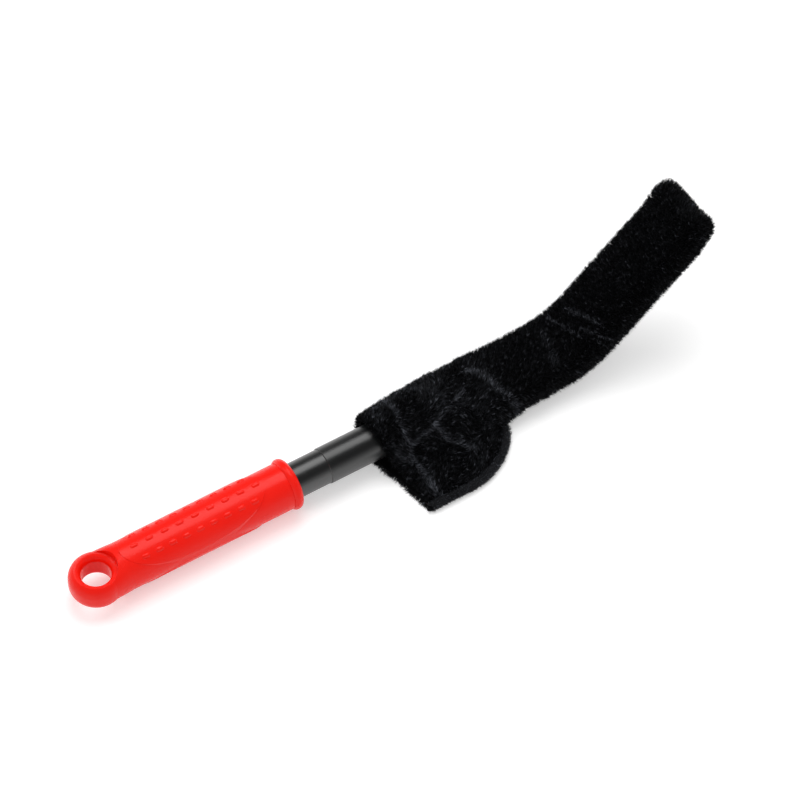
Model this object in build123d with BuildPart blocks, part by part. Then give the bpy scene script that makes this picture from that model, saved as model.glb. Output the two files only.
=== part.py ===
from build123d import *
from math import copysign, cos, radians, sin, sqrt
import os

# Wheel brush. A moulded grip is pressed on a tube, and a neck joins the tube to a padded
# blade that bends and stays bent. A sleeve of two plush panels is pulled over the blade.
# The tool lies on a surface at Z 0, with +X from the hang loop to the tip and +Y to its left.
# All lengths are in millimetres and all angles in degrees.

# Frame: the origin is below the middle of the tool as it lies
X_REAR = -221.24
AXIS_Y = 13.15

# Grip
GRIP_LENGTH = 154.0
GRIP_R = 15.2
BAR_START_R = 15.6
COLLAR_R = 16.75
COLLAR_WIDTH = 6.0
COLLAR_FACE_R = 14.6
COLLAR_GROOVE_WIDTH = 0.9
COLLAR_GROOVE_DEPTH = 0.4
COLLAR_RECESS_R = 12.3
COLLAR_RECESS = 3.0
TUBE_SOCKET_START = 58.0

# Hang loop: a rounded ring, pierced by a hole that widens in a curve to its rims. Squareness
# is the power in the oval's equation: 2 gives an ellipse, and more gives fuller corners
LOOP_R = 17.3
LOOP_HALF_HEIGHT = 12.0
LOOP_SQUARENESS = 2.8
OVAL_STEP = 15
HANG_HOLE_R = 9.2
HANG_HOLE_BORE = 8.8
HANG_HOLE_LIP = 4.3
HANG_HOLE_LIP_HEIGHT = 5.0

# Fairing from the loop to the bar: distances from the loop's end, with the half width, the
# half height and the squareness of the oval section there
BAR_START = 36.0
FAIRING = (
    (9.0, 13.6, 10.4, 2.6),
    (17.0, 16.4, 11.2, 2.6),
    (25.0, 16.3, 13.0, 2.4),
    (31.0, 15.9, 14.7, 2.15),
    (BAR_START, 15.5, 15.5, 2.0),
)

# Raised panels and bumps of the grip, above and below
PANEL_MIDDLE = 84.0
PANEL_HALF_LENGTH = 50.0
PANEL_HALF_ANGLE = 80.0
PANEL_RISE = 0.7
BUMP_LENGTH = 6.2
BUMP_R = 1.9
BUMP_RISE = 0.8
BUMPS_IN_ROW = 9
CROWN_ROW_START = 43.9
CROWN_ROW_PITCH = 10.6
SIDE_ROW_START = 47.3
SIDE_ROW_PITCH = 9.5
SIDE_ROW_ANGLE = 33.0

# The tool's axis lies one collar radius above the surface
AXIS_Z = COLLAR_R

# Handle tube and neck, placed by their distance from the end of the hang loop
TUBE_R = 11.25
TUBE_WALL = 1.8
NECK_START = 176.3
NECK_FRONT = 238.4
NECK_R = 11.75
NECK_REAR_CHAMFER = 0.3
NECK_NOSE_ROUNDING = 2.0
NECK_WALL = 2.4
NECK_FRONT_WALL = 5.0
SPIGOT_LENGTH = 26.0
SPIGOT_GAP = 0.05
TONGUE_END = 272.4
TONGUE_WIDTH = 20.0
TONGUE_THICKNESS = 5.0
TONGUE_CORNER = 4.0

# Blade: stations are distances along it from the sleeve's mouth
MOUTH_X = 212.4
BLADE_Z = 13.25
LIFT_START = 80.0
LIFT_END = 94.0
LIFT_ANGLE = 5.0
BEND_START = 122.0
BEND_END = 154.0
BEND_ANGLE = 37.0
TIP_BEND_START = 188.0
TIP_BEND_END = 214.0
TIP_END = 254.2

# Core strip with its rivets and end cap
STRIP_WIDTH = 20.0
STRIP_THICKNESS = 2.5
STRIP_START = 29.0
STRIP_END = 242.2
RIVET_R = 2.0
RIVET_HEAD_R = 3.6
RIVET_HEAD = 1.2
RIVET_STATIONS = (38.0, 51.0)
CAP_START = 234.2
CAP_END = 245.2
CAP_WIDTH = 30.0
CAP_HEIGHT = 11.0
CAP_CORNER = 3.0
CAP_EDGE = 1.5

# Foam pads on the strip
PAD_HALF_WIDTH = 18.6
PAD_HALF_HEIGHT = 7.2
PAD_CORNER = 5.0

# Sleeve where it holds the pads: its wall is the cloth with its pile
SLEEVE_HALF_WIDTH = 23.5
SLEEVE_HALF_HEIGHT = 12.25
SLEEVE_CORNER = 10.0
SLEEVE_WALL = 4.3
TIP_ROUNDING = 8.0
TIP_WALL = 8.5

# Cuff: the loose rear of the sleeve, from its mouth to the pads
CUFF_WALL = 2.7
SEAM_Z = 3.2
FLAP_TOP_Z = 6.4
FLAP_ROOT_Y = -23.6
MOUTH_SLANT = 9.0
FLARE_EDGE_Y = -50.5
FLARE_STRAIGHT_END = 42.0
FLARE_ARC_Y = -18.0
FLARE_END = 86.0
BINDING_WIDTH = 5.5
BINDING_THICKNESS = 0.8
BINDING_ROOT_Y = -26.5

# The cuff's arch over the neck: its stations, and for each one the arch's outer side from
# the tool's left to its right, as (sideways, upwards) from the tool's axis
ARCH_FOOT = SEAM_Z - AXIS_Z
ARCHES = (
    (0.0, ((16.6, ARCH_FOOT), (16.2, -3.0), (11.4, 10.6), (0, 15.2), (-11.2, 10.6), (-17.2, -1.5), (-25.0, ARCH_FOOT))),
    (14.0, ((21.3, ARCH_FOOT), (18.2, -3.0), (11.8, 10.6), (0, 15.2), (-11.4, 10.6), (-17.4, -1.5), (-25.6, ARCH_FOOT))),
    (30.0, ((23.2, ARCH_FOOT), (20.0, -3.0), (12.4, 10.4), (0, 15.0), (-12.0, 10.4), (-18.0, -1.5), (-26.0, ARCH_FOOT))),
    (52.0, ((24.0, ARCH_FOOT), (22.0, -3.0), (14.0, 6.8), (0, 9.6), (-13.4, 6.6), (-20.4, -2.5), (-25.4, ARCH_FOOT))),
    (80.0, ((23.5, ARCH_FOOT), (23.0, -3.5), (16.5, 6.8), (0, 8.75), (-16.5, 6.8), (-23.0, -3.5), (-23.5, ARCH_FOOT))),
)

UPPER = 1
LOWER = -1


def blade_place(station):
    """X, Z and slope of the blade's middle line at a station."""
    x, z, slope, done = X_REAR + MOUTH_X, BLADE_Z, 0.0, 0.0
    for start, end, angle in (
        (LIFT_START, LIFT_END, LIFT_ANGLE),
        (BEND_START, BEND_END, BEND_ANGLE),
    ):
        if station <= start:
            break
        x += (start - done) * cos(radians(slope))
        z += (start - done) * sin(radians(slope))
        turned = angle * (min(station, end) - start) / (end - start)
        radius = (end - start) / radians(angle)
        x += radius * (sin(radians(slope + turned)) - sin(radians(slope)))
        z += radius * (cos(radians(slope)) - cos(radians(slope + turned)))
        slope += turned
        done = min(station, end)
    x += (station - done) * cos(radians(slope))
    z += (station - done) * sin(radians(slope))
    return x, z, slope


def blade_plane(station):
    """Plane across the blade: its x runs to the tool's left and its y up from the blade."""
    x, z, slope = blade_place(station)
    forward = (cos(radians(slope)), 0, sin(radians(slope)))
    return Plane(origin=(x, AXIS_Y, z), x_dir=(0, 1, 0), z_dir=forward)


def tool_plane(distance):
    """Plane across the tool's axis at a distance from the end of the hang loop."""
    return Plane(origin=(X_REAR + distance, AXIS_Y, AXIS_Z), x_dir=(0, 1, 0), z_dir=(1, 0, 0))


def side_plane(distance):
    """Upright plane along the tool's axis, from a distance off the end of the hang loop."""
    return Plane(origin=(X_REAR + distance, AXIS_Y, AXIS_Z), x_dir=(1, 0, 0), z_dir=(0, -1, 0))


def oval_points(half_width, half_height, squareness):
    """Points round an oval, whose corners are fuller than an ellipse's by its squareness."""
    points = []
    for step in range(0, 360, OVAL_STEP):
        across, up = cos(radians(step)), sin(radians(step))
        points.append(
            (
                copysign(half_width * abs(across) ** (2 / squareness), across),
                copysign(half_height * abs(up) ** (2 / squareness), up),
            )
        )
    return points


def half_ring(side):
    """Section of the sleeve's upper or lower panel round the pads."""
    width, height = 2 * SLEEVE_HALF_WIDTH, 2 * SLEEVE_HALF_HEIGHT
    RectangleRounded(width, height, SLEEVE_CORNER)
    RectangleRounded(
        width - 2 * SLEEVE_WALL,
        height - 2 * SLEEVE_WALL,
        SLEEVE_CORNER - SLEEVE_WALL,
        mode=Mode.SUBTRACT,
    )
    with Locations((0, -side * height / 2)):
        Rectangle(2 * width, height, mode=Mode.SUBTRACT)


def half_pad(side):
    """Section of the upper or lower pad, which lies on the core strip."""
    width, height = 2 * PAD_HALF_WIDTH, 2 * PAD_HALF_HEIGHT
    RectangleRounded(width, height, PAD_CORNER)
    with Locations((0, side * (STRIP_THICKNESS - height) / 2)):
        Rectangle(2 * width, height, mode=Mode.SUBTRACT)


def strip_section(side):
    """Section of the core strip, which is the same for either side."""
    Rectangle(STRIP_WIDTH, STRIP_THICKNESS)


def straight_run(section, side, start, end):
    """Adds a straight stretch of the blade between two stations."""
    with BuildSketch(blade_plane(start)) as profile:
        section(side)
    extrude(profile.sketch, amount=end - start)


def curved_run(section, side, start, end, angle):
    """Adds a stretch of the blade that follows an arc between two stations."""
    x, z, slope = blade_place(start)
    radius = (end - start) / radians(angle)
    arc_middle = (x - radius * sin(radians(slope)), AXIS_Y, z + radius * cos(radians(slope)))
    with BuildSketch(blade_plane(start)) as profile:
        section(side)
    revolve(profile.sketch, axis=Axis(arc_middle, (0, -1, 0)), revolution_arc=angle)


def rear_run(section, side):
    """Adds the blade's stretch from its slight lift to the bend."""
    curved_run(section, side, LIFT_START, LIFT_END, LIFT_ANGLE)
    straight_run(section, side, LIFT_END, BEND_START)


def arch_inner_side(outer):
    """The inner side of an arch, one wall thickness inside the points of its outer side."""
    inner = [(outer[0][0] - CUFF_WALL, outer[0][1])]
    for before, here, after in zip(outer, outer[1:], outer[2:]):
        across, up = after[0] - before[0], after[1] - before[1]
        reach = CUFF_WALL / sqrt(across**2 + up**2)
        inner.append((here[0] - reach * up, here[1] + reach * across))
    inner.append((outer[-1][0] + CUFF_WALL, outer[-1][1]))
    return inner


def flare_outline(margin, overrun):
    """Plan of the flare, grown by a margin at its edge and run on past the mouth."""
    edge = FLARE_EDGE_Y - margin
    with BuildLine() as plan:
        Polyline(
            (FLARE_END + margin, FLARE_ARC_Y),
            (FLARE_END + margin, 0),
            (-overrun, 0),
            (MOUTH_SLANT - overrun, edge),
            (FLARE_STRAIGHT_END, edge),
        )
        EllipticalCenterArc(
            (FLARE_STRAIGHT_END, FLARE_ARC_Y),
            FLARE_END + margin - FLARE_STRAIGHT_END,
            FLARE_ARC_Y - edge,
            start_angle=270,
            arc_size=90,
        )
    make_face(plan.edges())


def save(part, name):
    """Labels a finished piece and writes it to its own file."""
    part.label = name
    export_step(part, f"parts/{name}.step")


os.makedirs("parts", exist_ok=True)


# Grip. One bump, to be set in rows and sunk in the panels
with BuildPart() as bump:
    with BuildSketch(Plane.XY):
        SlotOverall(BUMP_LENGTH, 2 * BUMP_R)
        with Locations((0, -BUMP_R)):
            Rectangle(2 * BUMP_LENGTH, 2 * BUMP_R, mode=Mode.SUBTRACT)
    revolve(axis=Axis.X)

# The raised panels: a longer and thicker bar, kept only within an oval seen from above
panel_oval = [
    (
        PANEL_HALF_LENGTH * cos(radians(step)),
        (GRIP_R + PANEL_RISE) * sin(radians(PANEL_HALF_ANGLE * sin(radians(step)))),
    )
    for step in range(0, 360, OVAL_STEP)
]

with BuildPart() as raised_panels:
    with BuildSketch(tool_plane(PANEL_MIDDLE)):
        Circle(GRIP_R + PANEL_RISE)
    extrude(amount=GRIP_LENGTH / 2, both=True)
    with BuildSketch(Plane(origin=(X_REAR + PANEL_MIDDLE, AXIS_Y, AXIS_Z))):
        with BuildLine():
            Spline(*panel_oval, periodic=True)
        make_face()
    extrude(amount=2 * GRIP_R, both=True, mode=Mode.INTERSECT)

# The ring of the hang loop
ring_oval = oval_points(LOOP_R, LOOP_HALF_HEIGHT, LOOP_SQUARENESS)
ring_quarter = ring_oval[: 90 // OVAL_STEP + 1]
with BuildPart() as loop_ring:
    with BuildSketch(side_plane(LOOP_R)):
        with BuildLine():
            Spline(*ring_quarter, tangents=[(0, 1), (-1, 0)])
            Spline(*[(x, -z) for x, z in ring_quarter], tangents=[(0, -1), (-1, 0)])
            Line((0, LOOP_HALF_HEIGHT), (0, -LOOP_HALF_HEIGHT))
        make_face()
    revolve(axis=Axis((X_REAR + LOOP_R, AXIS_Y, AXIS_Z), (0, 0, 1)))

# The fairing between the loop and the bar
with BuildPart() as loop_fairing:
    for distance, half_width, half_height, squareness in FAIRING:
        with BuildSketch(tool_plane(distance)):
            with BuildLine():
                Spline(*oval_points(half_width, half_height, squareness), periodic=True)
            make_face()
    loft()

# The hang hole, with a curved lip at either end
lip_r = HANG_HOLE_R + HANG_HOLE_LIP
lip_top = HANG_HOLE_BORE / 2 + HANG_HOLE_LIP_HEIGHT
with BuildPart() as hang_hole:
    with BuildSketch(side_plane(LOOP_R)):
        with BuildLine():
            Polyline((HANG_HOLE_R, 0), (0, 0), (0, 2 * GRIP_R), (lip_r, 2 * GRIP_R), (lip_r, lip_top))
            EllipticalCenterArc(
                (lip_r, HANG_HOLE_BORE / 2),
                HANG_HOLE_LIP,
                HANG_HOLE_LIP_HEIGHT,
                start_angle=90,
                arc_size=90,
            )
            Line((HANG_HOLE_R, HANG_HOLE_BORE / 2), (HANG_HOLE_R, 0))
        make_face()
        mirror(about=Plane.XZ)
    revolve(axis=Axis((X_REAR + LOOP_R, AXIS_Y, AXIS_Z), (0, 0, 1)))

# The bar with its collar, then everything joined
collar_start = GRIP_LENGTH - COLLAR_WIDTH
groove_start = collar_start - COLLAR_GROOVE_WIDTH
groove_r = GRIP_R - COLLAR_GROOVE_DEPTH

with BuildPart() as grip:
    with BuildSketch(side_plane(0)):
        with BuildLine():
            Polyline(
                (groove_start, GRIP_R),
                (groove_start, groove_r),
                (collar_start, groove_r),
                (collar_start, GRIP_R),
            )
            ThreePointArc(
                (collar_start, GRIP_R),
                (collar_start + COLLAR_WIDTH / 2, COLLAR_R),
                (GRIP_LENGTH, COLLAR_FACE_R),
            )
            Polyline(
                (GRIP_LENGTH, COLLAR_FACE_R),
                (GRIP_LENGTH, 0),
                (BAR_START, 0),
                (BAR_START, BAR_START_R),
            )
            Spline(
                (BAR_START, BAR_START_R),
                (PANEL_MIDDLE, GRIP_R),
                (groove_start, GRIP_R),
                tangents=[(1, 0), (1, 0)],
            )
        make_face()
    revolve(axis=Axis((X_REAR, AXIS_Y, AXIS_Z), (1, 0, 0)))

    add(raised_panels.part)
    add(loop_fairing.part)
    add(loop_ring.part)
    rows = [(0, CROWN_ROW_START, CROWN_ROW_PITCH)]
    rows += [(side * SIDE_ROW_ANGLE, SIDE_ROW_START, SIDE_ROW_PITCH) for side in (UPPER, LOWER)]
    sunk_r = GRIP_R + PANEL_RISE + BUMP_RISE - BUMP_R
    for row_angle, row_start, row_pitch in rows:
        for turn in (radians(row_angle), radians(row_angle + 180)):
            for number in range(BUMPS_IN_ROW):
                along = X_REAR + row_start + number * row_pitch
                with Locations((along, AXIS_Y + sunk_r * sin(turn), AXIS_Z + sunk_r * cos(turn))):
                    add(bump.part)
    add(hang_hole.part, mode=Mode.SUBTRACT)

    # Socket for the tube, with a wider recess at the collar
    with BuildSketch(tool_plane(TUBE_SOCKET_START)):
        Circle(TUBE_R)
    extrude(amount=GRIP_LENGTH - TUBE_SOCKET_START, mode=Mode.SUBTRACT)
    with BuildSketch(tool_plane(GRIP_LENGTH - COLLAR_RECESS)):
        Circle(COLLAR_RECESS_R)
    extrude(amount=COLLAR_RECESS, mode=Mode.SUBTRACT)
save(grip.part, "grip")


# Handle tube, pushed to the bottom of the grip's socket
with BuildPart() as handle_tube:
    with BuildSketch(tool_plane(TUBE_SOCKET_START)):
        Circle(TUBE_R)
        Circle(TUBE_R - TUBE_WALL, mode=Mode.SUBTRACT)
    extrude(amount=NECK_START - TUBE_SOCKET_START)
save(handle_tube.part, "handle_tube")


# Neck: a spigot in the tube, a hollow barrel and a flat tongue that carries the strip
tongue_z = BLADE_Z + STRIP_THICKNESS / 2
tongue_root = NECK_FRONT - NECK_FRONT_WALL / 2
spigot_r = TUBE_R - TUBE_WALL - SPIGOT_GAP

with BuildPart() as neck:
    with BuildSketch(tool_plane(NECK_START)):
        Circle(NECK_R)
    extrude(amount=NECK_FRONT - NECK_START)
    fillet(neck.edges().sort_by(Axis.X)[-1], NECK_NOSE_ROUNDING)
    chamfer(neck.edges().sort_by(Axis.X)[0], NECK_REAR_CHAMFER)
    with BuildSketch(tool_plane(NECK_START - SPIGOT_LENGTH)):
        Circle(spigot_r)
    extrude(amount=SPIGOT_LENGTH)
    with BuildSketch(tool_plane(NECK_START - SPIGOT_LENGTH)):
        Circle(spigot_r - NECK_WALL)
    extrude(
        amount=NECK_FRONT - NECK_FRONT_WALL - NECK_START + SPIGOT_LENGTH,
        mode=Mode.SUBTRACT,
    )
    with BuildSketch(Plane(origin=(X_REAR + tongue_root, AXIS_Y, tongue_z))):
        Rectangle(TONGUE_END - tongue_root, TONGUE_WIDTH, align=(Align.MIN, Align.CENTER))
    extrude(amount=TONGUE_THICKNESS)
    fillet(neck.edges().filter_by(Axis.Z).group_by(Axis.X)[-1], TONGUE_CORNER)
    for station in RIVET_STATIONS:
        with Locations((X_REAR + MOUTH_X + station, AXIS_Y, tongue_z + TONGUE_THICKNESS / 2)):
            Cylinder(RIVET_R, TONGUE_THICKNESS, mode=Mode.SUBTRACT)
save(neck.part, "neck")


# Rivets through the tongue and the strip
strip_underside = BLADE_Z - STRIP_THICKNESS / 2
with BuildPart() as strip_rivets:
    for station in RIVET_STATIONS:
        along = X_REAR + MOUTH_X + station
        with BuildSketch(Plane(origin=(along, AXIS_Y, strip_underside - RIVET_HEAD))):
            Circle(RIVET_HEAD_R)
        extrude(amount=RIVET_HEAD)
        with BuildSketch(Plane(origin=(along, AXIS_Y, strip_underside))):
            Circle(RIVET_R)
        extrude(amount=STRIP_THICKNESS + TONGUE_THICKNESS)
        with BuildSketch(Plane(origin=(along, AXIS_Y, tongue_z + TONGUE_THICKNESS))):
            Circle(RIVET_HEAD_R)
        extrude(amount=RIVET_HEAD)
save(strip_rivets.part, "strip_rivets")


# Core strip, in a length for each stretch of the blade
with BuildPart() as core_strip_rear:
    straight_run(strip_section, UPPER, STRIP_START, LIFT_START)
    rear_run(strip_section, UPPER)
    for station in RIVET_STATIONS:
        with Locations((X_REAR + MOUTH_X + station, AXIS_Y, BLADE_Z)):
            Cylinder(RIVET_R, STRIP_THICKNESS, mode=Mode.SUBTRACT)
save(core_strip_rear.part, "core_strip_rear")

with BuildPart() as core_strip_bend:
    curved_run(strip_section, UPPER, BEND_START, BEND_END, BEND_ANGLE)
save(core_strip_bend.part, "core_strip_bend")

with BuildPart() as core_strip_middle:
    straight_run(strip_section, UPPER, BEND_END, TIP_BEND_START)
save(core_strip_middle.part, "core_strip_middle")

with BuildPart() as core_strip_tip_bend:
    straight_run(strip_section, UPPER, TIP_BEND_START, TIP_BEND_END)
save(core_strip_tip_bend.part, "core_strip_tip_bend")

with BuildPart() as core_strip_tip:
    straight_run(strip_section, UPPER, TIP_BEND_END, STRIP_END)
save(core_strip_tip.part, "core_strip_tip")


# Cap over the strip's end
with BuildPart() as strip_end_cap:
    with BuildSketch(blade_plane(CAP_START)):
        RectangleRounded(CAP_WIDTH, CAP_HEIGHT, CAP_CORNER)
    extrude(amount=CAP_END - CAP_START)
    fillet(strip_end_cap.faces().sort_by(Axis.Z)[-1].edges(), CAP_EDGE)
    with BuildSketch(blade_plane(CAP_START)):
        Rectangle(STRIP_WIDTH, STRIP_THICKNESS)
    extrude(amount=STRIP_END - CAP_START, mode=Mode.SUBTRACT)
save(strip_end_cap.part, "strip_end_cap")


# Foam pads above and below the strip
for pad_name, side in (("upper_pad", UPPER), ("lower_pad", LOWER)):
    with BuildPart() as pad_rear:
        rear_run(half_pad, side)
    save(pad_rear.part, f"{pad_name}_rear")

    with BuildPart() as pad_bend:
        curved_run(half_pad, side, BEND_START, BEND_END, BEND_ANGLE)
    save(pad_bend.part, f"{pad_name}_bend")

    with BuildPart() as pad_middle:
        straight_run(half_pad, side, BEND_END, TIP_BEND_START)
    save(pad_middle.part, f"{pad_name}_middle")

    with BuildPart() as pad_tip_bend:
        straight_run(half_pad, side, TIP_BEND_START, TIP_BEND_END)
    save(pad_tip_bend.part, f"{pad_name}_tip_bend")

    with BuildPart() as pad_tip:
        straight_run(half_pad, side, TIP_BEND_END, CAP_START)
    save(pad_tip.part, f"{pad_name}_tip")


# Binding folded over the edge of the flare
mouth_floor = Plane(origin=(X_REAR + MOUTH_X, AXIS_Y, 0))
flare_reach = 2 * FLARE_END

with BuildPart() as edge_binding:
    with BuildSketch(mouth_floor):
        flare_outline(BINDING_THICKNESS, 0)
    extrude(amount=FLAP_TOP_Z + BINDING_THICKNESS)
    with BuildSketch(mouth_floor):
        flare_outline(-BINDING_WIDTH, MOUTH_SLANT)
    extrude(amount=2 * FLAP_TOP_Z, mode=Mode.SUBTRACT)
    with BuildSketch(mouth_floor.offset(BINDING_THICKNESS)):
        flare_outline(0, MOUTH_SLANT)
    extrude(amount=FLAP_TOP_Z - BINDING_THICKNESS, mode=Mode.SUBTRACT)
    with BuildSketch(mouth_floor):
        with Locations((0, BINDING_ROOT_Y)):
            Rectangle(2 * flare_reach, flare_reach, align=(Align.CENTER, Align.MIN))
    extrude(amount=2 * FLAP_TOP_Z, mode=Mode.SUBTRACT)
save(edge_binding.part, "edge_binding")


# Upper panel: the arch over the neck with its flap, then the cover of the upper pad
with BuildPart() as upper_flap:
    with BuildSketch(mouth_floor.offset(SEAM_Z)):
        flare_outline(0, 0)
        with Locations((0, FLAP_ROOT_Y)):
            Rectangle(2 * flare_reach, flare_reach, align=(Align.CENTER, Align.MIN), mode=Mode.SUBTRACT)
    extrude(amount=FLAP_TOP_Z - SEAM_Z)

with BuildPart() as upper_panel_rear:
    for station, outer in ARCHES:
        inner = arch_inner_side(outer)
        with BuildSketch(tool_plane(MOUTH_X + station)):
            with BuildLine():
                Spline(*outer, tangents=[(0, 1), (-0.5, -1)])
                Line(outer[-1], inner[-1])
                Spline(*inner, tangents=[(0, 1), (-0.5, -1)])
                Line(inner[0], outer[0])
            make_face()
    loft()
    with BuildSketch(mouth_floor):
        Polygon((0, 0), (MOUTH_SLANT, FLARE_EDGE_Y), (-1, FLARE_EDGE_Y), (-1, 0), align=None)
    extrude(amount=4 * AXIS_Z, mode=Mode.SUBTRACT)
    add(upper_flap.part)
    rear_run(half_ring, UPPER)
save(upper_panel_rear.part, "upper_panel_rear")


# Lower panel: a flat sheet below the neck, then the cover of the lower pad
with BuildPart() as lower_panel_rear:
    with BuildSketch(mouth_floor):
        flare_outline(0, 0)
        with BuildLine():
            left_edge = [(station, outer[0][0]) for station, outer in ARCHES]
            Spline(*left_edge)
            Polyline(left_edge[-1], (FLARE_END, left_edge[-1][1]), (FLARE_END, 0), (0, 0), left_edge[0])
        make_face()
    extrude(amount=SEAM_Z)
    with BuildSketch(mouth_floor):
        flare_outline(0, 0)
        flare_outline(-BINDING_WIDTH, MOUTH_SLANT)
        with Locations((0, BINDING_ROOT_Y)):
            Rectangle(2 * flare_reach, flare_reach, align=(Align.CENTER, Align.MIN), mode=Mode.SUBTRACT)
    extrude(amount=BINDING_THICKNESS, mode=Mode.SUBTRACT)
    rear_run(half_ring, LOWER)
save(lower_panel_rear.part, "lower_panel_rear")


# Both panels from the bend to the closed tip
tip = blade_plane(TIP_END)

for panel_name, side in (("upper_panel", UPPER), ("lower_panel", LOWER)):
    with BuildPart() as panel_bend:
        curved_run(half_ring, side, BEND_START, BEND_END, BEND_ANGLE)
    save(panel_bend.part, f"{panel_name}_bend")

    with BuildPart() as panel_middle:
        straight_run(half_ring, side, BEND_END, TIP_BEND_START)
    save(panel_middle.part, f"{panel_name}_middle")

    with BuildPart() as panel_tip_bend:
        straight_run(half_ring, side, TIP_BEND_START, TIP_BEND_END)
    save(panel_tip_bend.part, f"{panel_name}_tip_bend")

    with BuildPart() as panel_tip:
        with BuildSketch(blade_plane(TIP_BEND_END)):
            RectangleRounded(2 * SLEEVE_HALF_WIDTH, 2 * SLEEVE_HALF_HEIGHT, SLEEVE_CORNER)
            with Locations((0, -side * SLEEVE_HALF_HEIGHT)):
                Rectangle(4 * SLEEVE_HALF_WIDTH, 2 * SLEEVE_HALF_HEIGHT, mode=Mode.SUBTRACT)
        extrude(amount=TIP_END - TIP_BEND_END)
        end_face = panel_tip.faces().sort_by(Axis(tip.origin, tip.z_dir))[-1]
        end_edges = end_face.edges().sort_by(Axis(tip.origin, tip.y_dir))
        fillet(end_edges[1:] if side == UPPER else end_edges[:-1], TIP_ROUNDING)
        with BuildSketch(blade_plane(TIP_BEND_END)):
            RectangleRounded(
                2 * (SLEEVE_HALF_WIDTH - SLEEVE_WALL),
                2 * (SLEEVE_HALF_HEIGHT - SLEEVE_WALL),
                SLEEVE_CORNER - SLEEVE_WALL,
            )
        extrude(amount=TIP_END - TIP_WALL - TIP_BEND_END, mode=Mode.SUBTRACT)
    save(panel_tip.part, f"{panel_name}_tip")
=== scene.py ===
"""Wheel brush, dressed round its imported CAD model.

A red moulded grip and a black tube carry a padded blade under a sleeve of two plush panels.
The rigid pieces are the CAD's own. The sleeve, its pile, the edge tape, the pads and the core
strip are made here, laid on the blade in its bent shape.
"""

from __future__ import annotations

import logging
import math
from dataclasses import dataclass, field
from enum import Enum
from typing import Sequence

import bpy
import numpy as np
from mathutils import Matrix, Vector

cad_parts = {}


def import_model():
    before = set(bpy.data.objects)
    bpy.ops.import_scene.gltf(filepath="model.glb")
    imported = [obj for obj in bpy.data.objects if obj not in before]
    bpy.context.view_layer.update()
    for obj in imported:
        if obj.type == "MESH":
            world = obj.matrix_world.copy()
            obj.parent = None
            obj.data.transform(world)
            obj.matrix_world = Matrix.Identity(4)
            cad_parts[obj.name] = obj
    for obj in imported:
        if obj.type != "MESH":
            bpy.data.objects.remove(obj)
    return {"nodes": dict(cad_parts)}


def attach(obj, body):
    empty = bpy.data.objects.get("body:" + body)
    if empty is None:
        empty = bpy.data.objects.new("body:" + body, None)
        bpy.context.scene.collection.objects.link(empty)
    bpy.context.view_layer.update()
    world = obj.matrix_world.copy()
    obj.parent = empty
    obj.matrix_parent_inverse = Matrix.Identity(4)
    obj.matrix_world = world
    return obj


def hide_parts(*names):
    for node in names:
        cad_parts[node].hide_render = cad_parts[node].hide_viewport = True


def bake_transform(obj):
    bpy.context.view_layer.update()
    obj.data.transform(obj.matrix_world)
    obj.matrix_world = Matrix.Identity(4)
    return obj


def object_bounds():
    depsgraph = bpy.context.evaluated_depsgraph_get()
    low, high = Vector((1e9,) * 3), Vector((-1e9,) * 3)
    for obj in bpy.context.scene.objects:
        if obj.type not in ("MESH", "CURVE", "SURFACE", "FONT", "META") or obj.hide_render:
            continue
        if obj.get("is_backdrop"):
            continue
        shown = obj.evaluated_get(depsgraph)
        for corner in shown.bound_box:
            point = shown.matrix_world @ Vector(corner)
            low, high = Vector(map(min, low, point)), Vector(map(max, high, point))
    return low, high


LOG = logging.getLogger("wheel_brush")
MM = 0.001
Array = np.ndarray
Span = tuple[float, float]
Colour = tuple[float, float, float]
WHITE = (1.0, 1.0, 1.0)
BAKE_MAP = "OFBake"


# ---- Helpers for numbers ----


def smooth(low: float, high: float, value: Array) -> Array:
    """Eases from 0 at low to 1 at high."""
    part = np.clip((value - low) / (high - low), 0.0, 1.0)
    return part * part * (3.0 - 2.0 * part)


def unit(vectors: Array) -> Array:
    """Vectors scaled to length 1."""
    return vectors / np.maximum(np.linalg.norm(vectors, axis=-1, keepdims=True), 1e-12)


def curve_through(controls: Array, at: Array) -> Array:
    """Reads a smooth curve that passes through control points.

    Args:
        controls: the points, as rows x points x coordinates.
        at: places along the curve, counted in points.

    Returns:
        The curve's points, as rows x places x coordinates.
    """
    ends = 2 * controls[:, :1] - controls[:, 1:2], 2 * controls[:, -1:] - controls[:, -2:-1]
    padded = np.concatenate((ends[0], controls, ends[1]), axis=1)
    index = np.minimum(at.astype(int), controls.shape[1] - 2)
    part = (at - index)[None, :, None]
    before, here, after, beyond = (padded[:, index + step] for step in range(4))
    return 0.5 * (
        2 * here
        + (after - before) * part
        + (2 * before - 5 * here + 4 * after - beyond) * part**2
        + (3 * here - before - 3 * after + beyond) * part**3
    )


# How a wave's length differs from the typical one, and the crest that their sum has
WAVE_SPREAD = (0.7, 1.4)
WAVE_CREST = 1.4


def ripples(places: Array, waves: float, seed: int, layers: int = 5) -> Array:
    """Soft random unevenness from a sum of slanting waves, between about -1 and 1.

    Args:
        places: the places, as anything x 2 or 3 coordinates.
        waves: the typical distance from crest to crest, in the places' own unit.
        seed: picks the pattern.
        layers: how many waves are added up.

    Returns:
        One value for each place.
    """
    chance = np.random.default_rng(seed)
    total = np.zeros(places.shape[:-1])
    for _ in range(layers):
        heading = unit(chance.normal(size=places.shape[-1]))
        total += np.sin(
            places @ heading * (2 * math.pi / (waves * chance.uniform(*WAVE_SPREAD)))
            + chance.uniform(0, 2 * math.pi)
        )
    return total / layers**0.5 / WAVE_CREST


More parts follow.
